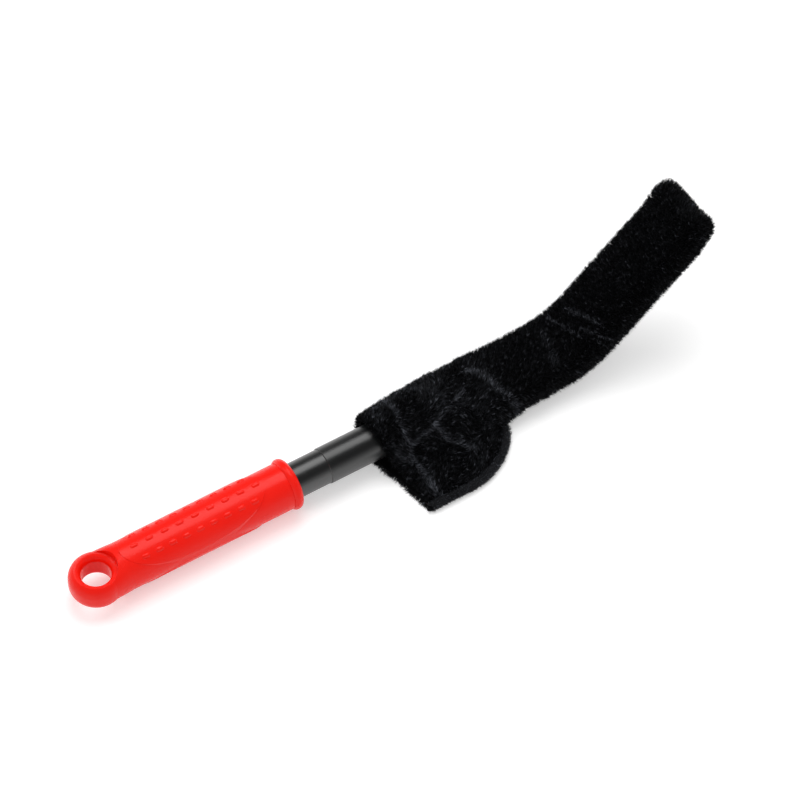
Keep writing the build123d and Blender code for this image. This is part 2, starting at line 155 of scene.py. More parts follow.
@dataclass(frozen=True)
class Ease:
    """An amount that grows from nothing to its full size between two values."""

    amount: float
    low: float
    high: float

    def at(self, value: Array) -> Array:
        """The amount that is reached at a value."""
        return self.amount * smooth(self.low, self.high, value)


@dataclass(frozen=True)
class Wave:
    """Soft random unevenness with its height, its typical length and its seed."""

    amount: float
    length: float
    seed: int

    def at(self, places: Array) -> Array:
        """The unevenness at places."""
        return self.amount * ripples(places, self.length, self.seed)


# ---- Helpers for meshes ----


def deselect_all() -> None:
    """Leaves nothing selected, the CAD nodes included."""
    bpy.ops.object.select_all(action="DESELECT")


def make_active(piece: bpy.types.Object) -> None:
    """Selects one piece and makes it the active one.

    Args:
        piece: the piece.
    """
    deselect_all()
    piece.select_set(True)
    bpy.context.view_layer.objects.active = piece


def named(name: str) -> bpy.types.Object:
    """Names the primitive that was just added.

    Args:
        name: its new name.

    Returns:
        The primitive.
    """
    piece = bpy.context.active_object
    piece.name = piece.data.name = name
    return piece


def apply_modifier(piece: bpy.types.Object, kind: str, **settings: object) -> None:
    """Adds a modifier with its settings and applies it.

    Args:
        piece: the piece to change.
        kind: Blender's name of the modifier.
        settings: values of the modifier's fields.
    """
    make_active(piece)
    modifier = piece.modifiers.new(kind.title(), kind)
    for key, value in settings.items():
        setattr(modifier, key, value)
    bpy.ops.object.modifier_apply(modifier=modifier.name)


def shade_smooth(piece: bpy.types.Object, angle: float) -> None:
    """Shades a piece smooth, with edges sharper than an angle in degrees kept."""
    make_active(piece)
    bpy.ops.object.shade_smooth_by_angle(angle=math.radians(angle))


def dress(piece: bpy.types.Object, material: bpy.types.Material) -> None:
    """Gives a piece a single material."""
    piece.data.materials.clear()
    piece.data.materials.append(material)


def grid_cloth(name: str, points: Array) -> bpy.types.Object:
    """Makes a sheet of cloth from a grid primitive whose points are pulled into place.

    Args:
        name: the piece's name.
        points: places in metres, as rows along the cloth x columns across it x 3.

    Returns:
        The sheet, one face thick, with the grid's own UV map.
    """
    rows, columns = points.shape[:2]
    deselect_all()
    bpy.ops.mesh.primitive_grid_add(
        x_subdivisions=columns - 1, y_subdivisions=rows - 1, size=1.0, calc_uvs=True
    )
    piece = named(name)
    mesh = piece.data
    flat = np.empty(len(mesh.vertices) * 3)
    mesh.vertices.foreach_get("co", flat)
    flat = flat.reshape(-1, 3)
    column = np.rint((flat[:, 0] + 0.5) * (columns - 1)).astype(int)
    row = np.rint((flat[:, 1] + 0.5) * (rows - 1)).astype(int)
    mesh.vertices.foreach_set("co", points[row, column].ravel())
    mesh.update()
    return piece


def thick_cloth(name: str, points: Array, thickness: float) -> bpy.types.Object:
    """Makes a sheet of cloth or metal with a thickness below its points.

    Args:
        name: the piece's name.
        points: places of its outer side in metres, as for grid_cloth.
        thickness: in millimetres.

    Returns:
        The new piece.
    """
    piece = grid_cloth(name, points)
    apply_modifier(piece, "SOLIDIFY", thickness=thickness * MM, offset=-1.0)
    return piece


def piece_of(name: str, points: Array, faces: Array) -> bpy.types.Object:
    """Makes a piece from many copies of a small shape, laid out in arrays.

    Args:
        name: the piece's name.
        points: all the copies' points, in metres.
        faces: the numbers of the faces' points, as faces x corners.

    Returns:
        The new piece.
    """
    mesh = bpy.data.meshes.new(name)
    mesh.vertices.add(len(points))
    mesh.vertices.foreach_set("co", points.astype(np.float32).ravel())
    mesh.loops.add(faces.size)
    mesh.loops.foreach_set("vertex_index", faces.astype(np.int32).ravel())
    mesh.polygons.add(len(faces))
    mesh.polygons.foreach_set("loop_start", np.arange(0, faces.size, faces.shape[1], dtype=np.int32))
    mesh.update(calc_edges=True)
    mesh.validate()
    piece = bpy.data.objects.new(name, mesh)
    bpy.context.scene.collection.objects.link(piece)
    return piece


# ---- Finishes ----


class NodeSheet:
    """A node tree with short calls to add and join nodes."""

    def __init__(self, tree: bpy.types.NodeTree) -> None:
        """Keeps the tree that is worked on."""
        self.tree = tree

    def add(
        self, kind: str, inputs: dict[str | int, object] | None = None, **settings: object
    ) -> bpy.types.Node:
        """Adds a node.

        Args:
            kind: the node's type.
            inputs: values or sockets for the node's inputs, by name or number.
            settings: values of the node's own fields.

        Returns:
            The new node.
        """
        node = self.tree.nodes.new(kind)
        for key, value in settings.items():
            setattr(node, key, value)
        for key, value in (inputs or {}).items():
            self.give(node.inputs[key], value)
        return node

    def give(self, socket: bpy.types.NodeSocket, value: object) -> None:
        """Joins an output to a socket, or sets the socket's value.

        Args:
            socket: the input to fill.
            value: an output, or the value itself. A colour comes without its alpha.
        """
        if isinstance(value, bpy.types.NodeSocket):
            self.tree.links.new(value, socket)
        else:
            socket.default_value = (*value, 1.0) if socket.type == "RGBA" else value

    def use(self, group: bpy.types.NodeTree, **inputs: object) -> bpy.types.Node:
        """Places a node group with its inputs."""
        return self.add("ShaderNodeGroup", inputs, node_tree=group)

    def blend(self, share: object, low: object, high: object) -> bpy.types.NodeSocket:
        """Mixes two colours and returns the result's socket."""
        node = self.add("ShaderNodeMix", {0: share, 6: low, 7: high}, data_type="RGBA")
        return node.outputs[2]

    def maths(self, operation: str, first: object, second: object = 0.0) -> bpy.types.NodeSocket:
        """Adds a Math node and returns its result's socket."""
        node = self.add("ShaderNodeMath", {0: first, 1: second}, operation=operation)
        return node.outputs[0]

    def spread(self, value: object, low: object, high: object) -> bpy.types.NodeSocket:
        """Maps 0 to 1 onto low to high and returns the result's socket."""
        node = self.add("ShaderNodeMapRange", {"Value": value, "To Min": low, "To Max": high})
        return node.outputs[0]

    def place(self) -> bpy.types.NodeSocket:
        """The socket of the piece's own coordinates."""
        return self.add("ShaderNodeTexCoord").outputs["Object"]


def new_group(
    name: str, numbers: dict[str, float], results: Sequence[str]
) -> tuple[NodeSheet, bpy.types.Node, bpy.types.Node]:
    """Starts a node group that reads a vector and some numbers, and gives numbers.

    Args:
        name: the group's name.
        numbers: the name and start value of each input after the vector.
        results: the outputs' names.

    Returns:
        The group's sheet, its input node and its output node.
    """
    tree = bpy.data.node_groups.new(name, "ShaderNodeTree")
    tree.interface.new_socket("Vector", in_out="INPUT", socket_type="NodeSocketVector")
    for label, value in numbers.items():
        socket = tree.interface.new_socket(label, in_out="INPUT", socket_type="NodeSocketFloat")
        socket.default_value = value
    for label in results:
        tree.interface.new_socket(label, in_out="OUTPUT", socket_type="NodeSocketFloat")
    sheet = NodeSheet(tree)
    return sheet, sheet.add("NodeGroupInput"), sheet.add("NodeGroupOutput")


class Effects:
    """The effects that more than one finish uses, each built once as a node group."""

    def __init__(self) -> None:
        """Builds the groups."""
        self.grain = self._grain()
        self.wear = self._wear()
        self.weave = self._weave()

    @staticmethod
    def _grain() -> bpy.types.NodeTree:
        """Builds fine unevenness.

        Returns:
            A group with a height for bump, and a slow variation for colour and gloss.
        """
        sheet, given, result = new_group(
            "FineGrain", {"Fine": 2000.0, "Broad": 60.0}, ("Height", "Variation")
        )
        for label, scale, detail in (("Height", "Fine", 2.0), ("Variation", "Broad", 3.0)):
            inputs = {"Vector": given.outputs["Vector"], "Scale": given.outputs[scale], "Detail": detail}
            sheet.give(result.inputs[label], sheet.add("ShaderNodeTexNoise", inputs).outputs[0])
        return sheet.tree

    @staticmethod
    def _wear() -> bpy.types.NodeTree:
        """Builds small scuffs and dust.

        Returns:
            A group with a mask that is 1 in scattered worn spots.
        """
        sheet, given, result = new_group("LightWear", {"Scale": 300.0, "Share": 0.3}, ("Mask",))
        inputs = {"Vector": given.outputs["Vector"], "Scale": given.outputs["Scale"]}
        spots = sheet.add("ShaderNodeTexNoise", inputs | {"Detail": 6.0, "Roughness": 0.7}).outputs[0]
        # Wear starts where the noise is above 0.85 less the share, and is full from 0.95
        start = sheet.maths("SUBTRACT", 0.85, given.outputs["Share"])
        masked = sheet.add("ShaderNodeMapRange", {"Value": spots, "From Min": start, "From Max": 0.95})
        sheet.give(result.inputs["Mask"], masked.outputs[0])
        return sheet.tree

    @staticmethod
    def _weave() -> bpy.types.NodeTree:
        """Builds threads that go over and under.

        Returns:
            A group with a height, and a mask of the gaps between threads.
        """
        sheet, given, result = new_group("Weave", {"Across": 100.0, "Along": 100.0}, ("Height", "Gap"))
        parts = sheet.add("ShaderNodeSeparateXYZ", {0: given.outputs["Vector"]})
        waves = []
        for axis, count in (("X", "Across"), ("Y", "Along")):
            turns = sheet.maths("MULTIPLY", parts.outputs[axis], given.outputs[count])
            waves.append(sheet.maths("SINE", sheet.maths("MULTIPLY", turns, 2 * math.pi)))
        height = sheet.maths("MULTIPLY", waves[0], waves[1])
        sheet.give(result.inputs["Height"], sheet.spread(height, 0.5, 1.0))
        gap = sheet.maths("MULTIPLY", *(sheet.maths("ABSOLUTE", wave) for wave in waves))
        sheet.give(result.inputs["Gap"], sheet.maths("SUBTRACT", 1.0, gap))
        return sheet.tree


Sockets = tuple[bpy.types.NodeSocket, bpy.types.NodeSocket, "bpy.types.NodeSocket | None"]


@dataclass(frozen=True)
class Finish:
    """What the finishes have in common: a name, two shades, a gloss and a bump in millimetres."""

    name: str
    colour: Colour
    shade: Colour
    roughness: float
    roughness_play: float = 0.05
    fixed: tuple[tuple[str, float], ...] = ()
    bump: float = 0.05
    depth: float = 0.1

    def make(self, effects: Effects) -> bpy.types.Material:
        """Builds the material.

        Args:
            effects: the shared node groups.

        Returns:
            The finished material.
        """
        material = bpy.data.materials.new(self.name)
        material.use_nodes = True
        sheet = NodeSheet(material.node_tree)
        shader = material.node_tree.nodes["Principled BSDF"]
        for socket, value in self.fixed:
            shader.inputs[socket].default_value = value
        colour, roughness, height = self.surface(sheet, effects)
        sheet.give(shader.inputs["Base Color"], colour)
        sheet.give(shader.inputs["Roughness"], roughness)
        if height is not None:
            inputs = {"Height": height, "Strength": self.bump, "Distance": self.depth * MM}
            sheet.give(shader.inputs["Normal"], sheet.add("ShaderNodeBump", inputs).outputs[0])
        return material

    def surface(self, sheet: NodeSheet, effects: Effects) -> Sockets:
        """The sockets of colour, roughness and height, which each kind of finish draws."""
        raise NotImplementedError(self.name)


@dataclass(frozen=True)
class Moulding(Finish):
    """A moulded, painted or rolled surface with fine grain and a little wear."""

    fine: float = 2000.0
    broad: float = 40.0
    stretch: tuple[float, float, float] = (1.0, 1.0, 1.0)
    wear: float = 0.25
    wear_size: float = 180.0
    wear_colour: Colour = (0.4, 0.4, 0.4)
    wear_share: float = 0.2
    wear_roughness: float = 0.12

    def surface(self, sheet: NodeSheet, effects: Effects) -> Sockets:
        """Draws the grain, and scuffs that are paler and duller.

        Args:
            sheet: the material's sheet.
            effects: the shared node groups.

        Returns:
            The sockets of colour, roughness and height.
        """
        place = sheet.place()
        drawn = sheet.add("ShaderNodeMapping", {"Vector": place, "Scale": self.stretch}).outputs[0]
        grain = sheet.use(effects.grain, Vector=drawn, Fine=self.fine, Broad=self.broad)
        worn = sheet.use(effects.wear, Vector=place, Scale=self.wear_size, Share=self.wear).outputs["Mask"]
        slow = grain.outputs["Variation"]
        faint = sheet.maths("MULTIPLY", worn, self.wear_share)
        glossy, dull = self.roughness - self.roughness_play, self.roughness + self.roughness_play
        gloss = sheet.spread(slow, glossy, dull)
        return (
            sheet.blend(faint, sheet.blend(slow, self.shade, self.colour), self.wear_colour),
            sheet.maths("ADD", gloss, sheet.maths("MULTIPLY", worn, self.wear_roughness)),
            grain.outputs["Height"],
        )


@dataclass(frozen=True)
class Woven(Finish):
    """A woven tape or cloth, its threads laid out on the piece's own UV map."""

    bump: float = 0.5
    depth: float = 0.3
    across: float = 10.0
    along: float = 200.0
    painted_gap_shade: float = 0.6

    def surface(self, sheet: NodeSheet, effects: Effects) -> Sockets:
        """Draws the threads with painted shade in the gaps between them.

        Args:
            sheet: the material's sheet.
            effects: the shared node groups.

        Returns:
            The sockets of colour, roughness and height.
        """
        flat = sheet.add("ShaderNodeUVMap", uv_map="UVMap").outputs[0]
        weave = sheet.use(effects.weave, Vector=flat, Across=self.across, Along=self.along)
        grain = sheet.use(effects.grain, Vector=sheet.place(), Fine=1600.0, Broad=160.0)
        tint = sheet.blend(grain.outputs["Variation"], self.shade, self.colour)
        fine = grain.outputs["Height"]
        # Painted shade darkens the colour in the gaps between threads
        return (
            sheet.blend(sheet.maths("MULTIPLY", weave.outputs["Gap"], self.painted_gap_shade), tint, self.shade),
            sheet.spread(fine, self.roughness - self.roughness_play, self.roughness),
            sheet.maths("ADD", weave.outputs["Height"], fine),
        )


@dataclass(frozen=True)
class Cellular(Finish):
    """Foam with small open cells."""

    bump: float = 0.6
    depth: float = 0.4
    cells: float = 1400.0

    def surface(self, sheet: NodeSheet, effects: Effects) -> Sockets:
        """Draws the cells with painted shade in their pits.

        Args:
            sheet: the material's sheet.
            effects: the shared node groups.

        Returns:
            The sockets of colour, roughness and height.
        """
        place = sheet.place()
        cells = sheet.add("ShaderNodeTexVoronoi", {"Vector": place, "Scale": self.cells}).outputs["Distance"]
        grain = sheet.use(effects.grain, Vector=place, Fine=900.0, Broad=90.0)
        tint = sheet.blend(grain.outputs["Variation"], self.shade, self.colour)
        # Painted shade darkens the colour in the cells' pits
        return (
            sheet.blend(sheet.maths("SUBTRACT", 0.5, cells), tint, self.shade),
            sheet.spread(grain.outputs["Height"], self.roughness - self.roughness_play, 1.0),
            cells,
        )


@dataclass(frozen=True)
class Fibre(Finish):
    """Pile, whose tufts differ in shade and grow lighter towards their tips: painted shade darkens them near
    their roots, deep in the pile.
    """

    # Share of a tuft's lightness kept at its root, the rest taken away as painted shade
    painted_root_shade: float = 0.5

    def surface(self, sheet: NodeSheet, effects: Effects) -> Sockets:
        """Reads each tuft's own shade, darkened towards its root as painted shade deep in the pile.

        Args:
            sheet: the material's sheet.
            effects: the shared node groups, of which pile uses none.

        Returns:
            The sockets of colour and roughness. A tuft has no height of its own.
        """
        shade = sheet.add("ShaderNodeAttribute", attribute_name="shade").outputs["Fac"]
        along = sheet.add("ShaderNodeAttribute", attribute_name="along").outputs["Fac"]
        # Painted shade: a tuft keeps only part of its lightness at its root
        lift = sheet.maths("MULTIPLY", shade, sheet.spread(along, self.painted_root_shade, 1.0))
        dull, glossy = self.roughness + self.roughness_play, self.roughness - self.roughness_play
        gloss = sheet.spread(shade, dull, glossy)
        return sheet.blend(lift, self.shade, self.colour), gloss, None


class Finishes:
    """Every material of the object, made once."""

    def __init__(self) -> None:
        """Builds the shared effects and then each finish."""
        effects = Effects()
        self.grip = Moulding(
            "GripGlossRed", (1.0, 0.012, 0.004), (0.95, 0.008, 0.003), 0.25,
            fixed=(("Specular IOR Level", 0.22),),
            fine=1500.0, bump=0.08, wear=0.22, wear_colour=(0.95, 0.25, 0.2), wear_share=0.08,
        ).make(effects)
        self.tube = Moulding(
            "TubeSatinBlack", (0.0045, 0.0050, 0.0052), (0.0030, 0.0033, 0.0035), 0.30,
            fixed=(("Specular IOR Level", 1.0),),
            fine=900.0, stretch=(0.05, 1.0, 1.0), bump=0.12,
            wear_colour=(0.12, 0.12, 0.12), wear_share=0.25,
        ).make(effects)
        self.neck = Moulding(
            "NeckSatinBlack", (0.0045, 0.0050, 0.0052), (0.0030, 0.0033, 0.0035), 0.32,
            fixed=(("Specular IOR Level", 0.85),),
            fine=1800.0, bump=0.10, wear=0.24, wear_colour=(0.12, 0.12, 0.12),
        ).make(effects)
        self.rivets = Moulding(
            "RivetSteel", (0.55, 0.55, 0.56), (0.42, 0.42, 0.44), 0.35, fixed=(("Metallic", 1.0),),
            fine=1400.0, bump=0.2, wear=0.35, wear_colour=(0.25, 0.22, 0.2), wear_share=0.4,
        ).make(effects)
        self.strip = Moulding(
            "StripRolledAluminium", (0.78, 0.78, 0.79), (0.66, 0.66, 0.68), 0.38,
            fixed=(("Metallic", 1.0),), fine=2600.0, stretch=(0.04, 1.0, 1.0), bump=0.3, wear=0.3,
            wear_share=0.3,
        ).make(effects)
        self.end_cap = Moulding(
            "EndCapBlackPlastic", (0.03, 0.03, 0.03), (0.02, 0.02, 0.02), 0.5, bump=0.3,
        ).make(effects)
        self.foam = Cellular(
            "PadFoam", (0.16, 0.16, 0.17), (0.07, 0.07, 0.075), 0.95, 0.10,
        ).make(effects)
        self.backing = Woven(
            "PlushBacking", (0.004, 0.004, 0.005), (0.0015, 0.0015, 0.002), 0.95,
            fixed=(("Specular IOR Level", 0.1),), across=90.0, along=260.0,
        ).make(effects)
        self.tape = Woven(
            "EdgeTape", (0.014, 0.015, 0.017), (0.003, 0.003, 0.004), 0.85, 0.10,
            fixed=(("Specular IOR Level", 0.15),), across=14.0, along=150.0,
        ).make(effects)
        # The pile's colour is its lightest tone, reached where painted glints and glitter are strongest
        self.pile = Fibre(
            "PlushPile", (0.168, 0.180, 0.210), (0.0006, 0.0007, 0.0010), 0.42, 0.08,
            fixed=(("Specular IOR Level", 0.09),),
        ).make(effects)


# ---- The blade's line and the sleeve's shape, in millimetres ----


@dataclass(frozen=True)
class BladeLine:
    """The blade's middle line, by stations from the sleeve's mouth, as the CAD has it.

    Each turn has its first station, its last one and its degrees.
    """

    mouth_x: float = -8.84
    axis_y: float = 13.15
    height: float = 13.25
    turns: tuple[tuple[float, float, float], ...] = ((80.0, 94.0, 5.0), (122.0, 154.0, 37.0))

    def place(self, station: Array) -> tuple[Array, Array, Array]:
        """Reads the line.

        Args:
            station: distances along the line from the mouth.

        Returns:
            X, Z and slope in radians at each station.
        """
        x = np.full_like(station, self.mouth_x, dtype=float)
        z = np.full_like(station, self.height, dtype=float)
        slope = np.zeros_like(x)
        done = np.zeros_like(x)
        for start, end, degrees in self.turns:
            run = np.clip(station, None, start) - done
            x, z = x + run * np.cos(slope), z + run * np.sin(slope)
            reached = np.clip(station, start, end)
            turned = math.radians(degrees) * (reached - start) / (end - start)
            radius = (end - start) / math.radians(degrees)
            x = x + radius * (np.sin(slope + turned) - np.sin(slope))
            z = z + radius * (np.cos(slope) - np.cos(slope + turned))
            slope = slope + turned
            done = np.clip(station, None, end)
        run = station - done
        return x + run * np.cos(slope), z + run * np.sin(slope), slope

    def lay(self, straight: Array) -> Array:
        """Bends straight places onto the blade.

        Args:
            straight: station, distance to the tool's left and height over the line.

        Returns:
            The places in the object's frame, in metres.
        """
        x, z, slope = self.place(straight[..., 0])
        height = straight[..., 2]
        bent = (x - height * np.sin(slope), self.axis_y + straight[..., 1], z + height * np.cos(slope))
        return np.stack(bent, axis=-1) * MM

    def point(self, station: float) -> tuple[float, float, float]:
        """The line's own place at a station, in metres."""
        return tuple(float(value) for value in self.lay(np.array([station, 0.0, 0.0])))


@dataclass(frozen=True)
class Fold:
    """A ridge in the cloth, or a crease where its rise is below 0.

    Its line runs through stations and sides, and its painted glint is how much lighter its pile is painted
    there, a painted highlight along the fold.
    """

    line: tuple[tuple[float, float], ...]
    rise: float
    width: float
    painted_glint: float = 0.0

    def strength(self, station: Array, side: Array) -> Array:
        """How much of the fold there is at places.

        Args:
            station: the places' stations.
            side: how far to the tool's left they are.

        Returns:
            From 0 away from the fold to 1 on its line.
        """
        near = np.full(station.shape, math.inf)
        for (s0, y0), (s1, y1) in zip(self.line, self.line[1:]):
            run, across = s1 - s0, y1 - y0
            part = np.clip(((station - s0) * run + (side - y0) * across) / (run**2 + across**2), 0, 1)
            near = np.minimum(near, np.hypot(station - s0 - part * run, side - y0 - part * across))
        return np.exp(-((near / self.width) ** 2))


class Side(Enum):
    """The sleeve's two panels."""

    UPPER = "upper"
    LOWER = "lower"


@dataclass(frozen=True)
class Flare:
    """Plan of the loose flap at the tool's right, whose edge carries the tape."""

    edge: float = -53.9
    straight_end: float = 40.0
    arc_middle: float = -18.0
    end: float = 83.4
    blade_side: float = -23.5
    bow: float = 1.75
    arc_points: int = 400

    def edge_at(self, station: Array) -> Array:
        """Finds the flap's edge.

        Args:
            station: where the edge is wanted.

        Returns:
            How far to the tool's left it is, below 0 because it is at the right.
        """
        part = np.clip((station - self.straight_end) / (self.end - self.straight_end), 0.0, 1.0)
        arc = self.arc_middle + (self.edge - self.arc_middle) * np.sqrt(1.0 - part**self.bow)
        return np.minimum(arc, self.blade_side)

    def edge_line(self, start: float, last_side: float, count: int) -> Array:
        """Evenly spaced places along the flap's edge.

        Args:
            start: station of the first place.
            last_side: how far to the side the last place is.
            count: the number of places.

        Returns:
            Station and side of each place.
        """
        last = math.asin((self.arc_middle - last_side) / (self.arc_middle - self.edge))
        angle = np.linspace(math.pi / 2, last, self.arc_points)
        arc = np.stack(
            (
                self.straight_end + (self.end - self.straight_end) * np.cos(angle) ** (2 / self.bow),
                self.arc_middle - (self.arc_middle - self.edge) * np.sin(angle),
            ),
            axis=1,
        )
        line = np.concatenate(([[start, self.edge]], arc))
        run = np.concatenate(([0.0], np.cumsum(np.linalg.norm(np.diff(line, axis=0), axis=1))))
        at = np.linspace(0.0, run[-1], count)
        return np.stack([np.interp(at, run, line[:, axis]) for axis in (0, 1)], axis=1)


# Sections of the upper panel from the tool's left to its right, as (side, height over the
# blade's line). The last four points are the flap's, which Flare places sideways, and which
# lie at other heights where the blade has no flap.
FLAP_SHARES = (0.17, 0.42, 0.72, 1.0)
FLAP_HEIGHTS = (-5.7, -6.8, -7.1, -8.6)
BLADE_FLAP_HEIGHTS = (1.6, 1.0, 0.5, 0.0)
UPPER_SECTIONS = (
    (0.0, ((18.2, -9.0), (18.8, -4.0), (18.6, 1.4), (17.0, 9.0), (13.2, 15.6), (7.2, 19.2), (0.0, 20.0),
           (-6.0, 18.6), (-11.0, 14.6), (-14.6, 8.2), (-17.4, 1.8), (-21.0, -3.2))),
    (14.0, ((22.6, -9.0), (21.8, -4.0), (20.6, 1.6), (17.9, 9.0), (13.8, 15.5), (7.4, 19.1), (0.0, 19.9),
            (-6.0, 18.4), (-11.2, 14.4), (-14.8, 8.2), (-17.6, 1.8), (-21.2, -3.2))),
    (30.0, ((24.0, -9.0), (23.4, -4.0), (22.2, 1.6), (18.9, 9.0), (14.2, 15.0), (7.4, 18.6), (0.0, 19.2),
            (-6.2, 17.8), (-12.0, 13.9), (-15.6, 8.0), (-18.2, 1.8), (-21.8, -3.2))),
    (52.0, ((24.6, -9.0), (24.4, -4.0), (23.8, 1.4), (20.6, 7.8), (15.6, 11.9), (8.0, 14.0), (0.0, 14.2),
            (-7.0, 13.0), (-13.4, 10.2), (-17.6, 5.8), (-20.6, 1.0), (-23.0, -3.2))),
    (80.0, ((23.2, -8.6), (24.0, -4.6), (24.2, 0.2), (23.2, 5.8), (19.4, 10.2), (10.2, 12.6), (0.0, 12.8),
            (-10.0, 12.2), (-19.0, 9.8), (-22.6, 5.4), (-23.5, 0.0), (-23.6, -3.6))),
    (110.0, ((23.5, 0.0), (23.5, 2.2), (22.9, 5.6), (20.9, 9.0), (17.4, 11.4), (9.0, 12.3), (0.0, 12.45),
             (-9.0, 12.3), (-17.4, 11.4), (-20.9, 9.0), (-22.9, 5.6), (-23.5, 2.2))),
)

# Sections of the lower panel from right to left: the share of its width, and its height
LOWER_CUFF = (
    (0.0, -9.9), (0.035, -12.3), (0.12, -13.1), (0.22, -13.2), (0.34, -13.2), (0.45, -13.2), (0.55, -13.2),
    (0.66, -13.2), (0.77, -13.2), (0.86, -13.2), (0.93, -13.0), (0.975, -12.2), (1.0, -9.4),
)
LOWER_BLADE = (
    (0.0, 0.0), (0.0, -2.2), (0.013, -5.6), (0.055, -9.0), (0.13, -11.4), (0.31, -12.25), (0.5, -12.4),
    (0.69, -12.25), (0.87, -11.4), (0.945, -9.0), (0.987, -5.6), (1.0, -2.2), (1.0, 0.0),
)


@dataclass(frozen=True)
class SleeveShape:
    """The sleeve's outside as the CAD has it, softened, and the cloth that lies below its pile.

    A pair of numbers is the stations, or the distances to the tool's left, between which
    something comes in.
    """

    line: BladeLine = BladeLine()
    flare: Flare = Flare()
    flap_keys: tuple[float, float, float] = (0.0, 84.0, 110.0)
    lower_keys: tuple[float, float, float] = (0.0, 80.0, 110.0)
    # How deep the cloth lies below the pile's tips, and how it is filled at the tool's left
    cuff_depth: float = 1.5
    blade_depth: float = 2.6
    depth_change: Span = (60.0, 95.0)
    fullness: float = 0.8
    full_side: Span = (2.0, 20.0)
    full_start: Span = (-2.0, 12.0)
    full_end: Span = (108.0, 78.0)
    flap_overhang: float = 0.9
    # How the whole sleeve sits on the blade
    drawn_back: float = 2.3
    back_end: Span = (85.0, 125.0)
    blade_aside: Ease = Ease(0.8, 118.0, 165.0)
    # Unevenness, which is greater where the cloth is loose
    loose_end: Span = (70.0, 120.0)
    tight_play: float = 0.12
    loose_play: float = 0.38
    play_length: float = 21.0
    # The mouth's slant, and how far its edges are drawn in
    mouth_slant: float = 9.0
    mouth_reach: float = 60.0
    upper_shift: float = 1.2
    upper_right: Ease = Ease(3.8, -12.0, -26.0)
    upper_left: Ease = Ease(1.2, 8.0, 18.0)
    lower_shift: float = 0.8
    lower_right: Ease = Ease(1.6, -12.0, -28.0)
    # The tip: its rounding, its slant and its two corners
    tip_end: float = 254.2
    tip_rounding: float = 8.0
    tip_half_width: float = 23.5
    tip_half_height: float = 12.25
    corner_least: float = 0.12
    corner_right: Ease = Ease(0.78, 10.0, -10.0)
    slant_reach: Span = (225.0, 254.0)
    slant_middle: float = 1.3
    slant_left: Ease = Ease(-0.4, 10.0, 20.0)
    slant_right: Ease = Ease(2.6, -2.0, -15.0)
    right_cut: Ease = Ease(5.0, -16.0, -25.0)
    right_cut_start: Span = (0.1, 1.0)
    right_inward: Ease = Ease(2.2, -10.0, -23.0)
    right_inward_reach: Span = (236.0, 252.0)
    left_outward: Ease = Ease(2.6, 8.0, 21.0)
    left_outward_reach: Span = (234.0, 252.0)
    # Each fold: its line, its rise, its width and its painted glint, how much lighter its pile is painted as
    # a highlight
    folds: tuple[Fold, ...] = (
        Fold(((17.4, 16.9), (18.4, 9.0), (18.4, 2.0), (16.4, -7.0), (17.4, -14.5), (16.4, -20.0),
              (17.8, -25.0), (18.3, -39.6), (18.9, -48.7)), 0.9, 1.1, 1.25),
        Fold(((7.5, -12.0), (9.2, -16.0), (15.5, -19.4), (17.8, -25.0), (19.5, -36.0), (19.5, -45.0)),
             0.5, 1.2, 0.8),
        Fold(((18.5, -14.8), (37.9, -12.4), (52.0, -6.5), (64.0, -1.6)), 0.35, 0.65, 1.5),
        Fold(((35.9, -10.9), (41.9, -19.3), (49.5, -23.5), (54.2, -31.3)), 0.9, 1.0, 1.3),
        Fold(((74.0, 8.8), (81.0, 2.7), (82.5, -8.0), (87.0, -18.0), (93.0, -24.9)), 1.2, 1.5, 1.25),
        Fold(((44.0, 24.5), (57.0, 23.6), (76.0, 24.6), (88.0, 24.2), (103.0, 24.4)), 0.3, 2.6, 0.4),
        Fold(((26.0, 14.0), (34.0, 19.0), (47.0, 22.0)), 0.3, 3.0, 0.4),
        Fold(((38.0, 12.0), (46.0, 5.0), (50.0, 0.0)), 0.4, 3.4, 0.35),
        Fold(((57.0, -8.0), (66.0, -14.0), (70.0, -24.0)), 0.5, 3.0, 0.3),
        Fold(((128.0, 6.5), (125.0, -5.8), (121.0, -16.0)), 0.5, 2.6, 0.4),
        Fold(((139.0, 15.0), (146.0, 1.1), (151.0, -11.2)), 0.8, 0.9, 1.3),
        Fold(((156.0, 10.5), (162.0, -3.0), (167.0, -15.3)), 0.8, 0.9, 1.2),
        Fold(((155.0, -6.5), (160.0, -15.0), (164.0, -22.6)), 0.6, 0.9, 1.1),
        Fold(((147.5, 13.0), (154.0, -1.0), (159.0, -13.0)), -0.7, 1.8),
    )
    def section_rows(self, side: Side, station: Array) -> Array:
        """Control points of a panel's sections.

        Args:
            side: which panel.
            station: where the sections are.

        Returns:
            Side and height of each control point, one row for each station.
        """
        keys = np.array([key for key, _ in UPPER_SECTIONS])
        edge = self.flare.edge_at(station)[:, None]
        if side is Side.UPPER:
            arch = self._between(keys, np.array([points for _, points in UPPER_SECTIONS]), station)
            heights = np.array([FLAP_HEIGHTS, FLAP_HEIGHTS, BLADE_FLAP_HEIGHTS])[..., None]
            flap_height = self._between(np.array(self.flap_keys), heights, station)[..., 0]
            root = arch[:, -1:, 0]
            flap_side = root + np.array(FLAP_SHARES) * (edge - root)
            return np.concatenate((arch, np.stack((flap_side, flap_height), axis=-1)), axis=1)
        table = np.array([LOWER_CUFF, LOWER_CUFF, LOWER_BLADE])
        rows = self._between(np.array(self.lower_keys), table, station)
        left = np.interp(station, keys, [points[0][0] for _, points in UPPER_SECTIONS])[:, None]
        rows[..., 0] = edge + rows[..., 0] * (left - edge)
        return rows

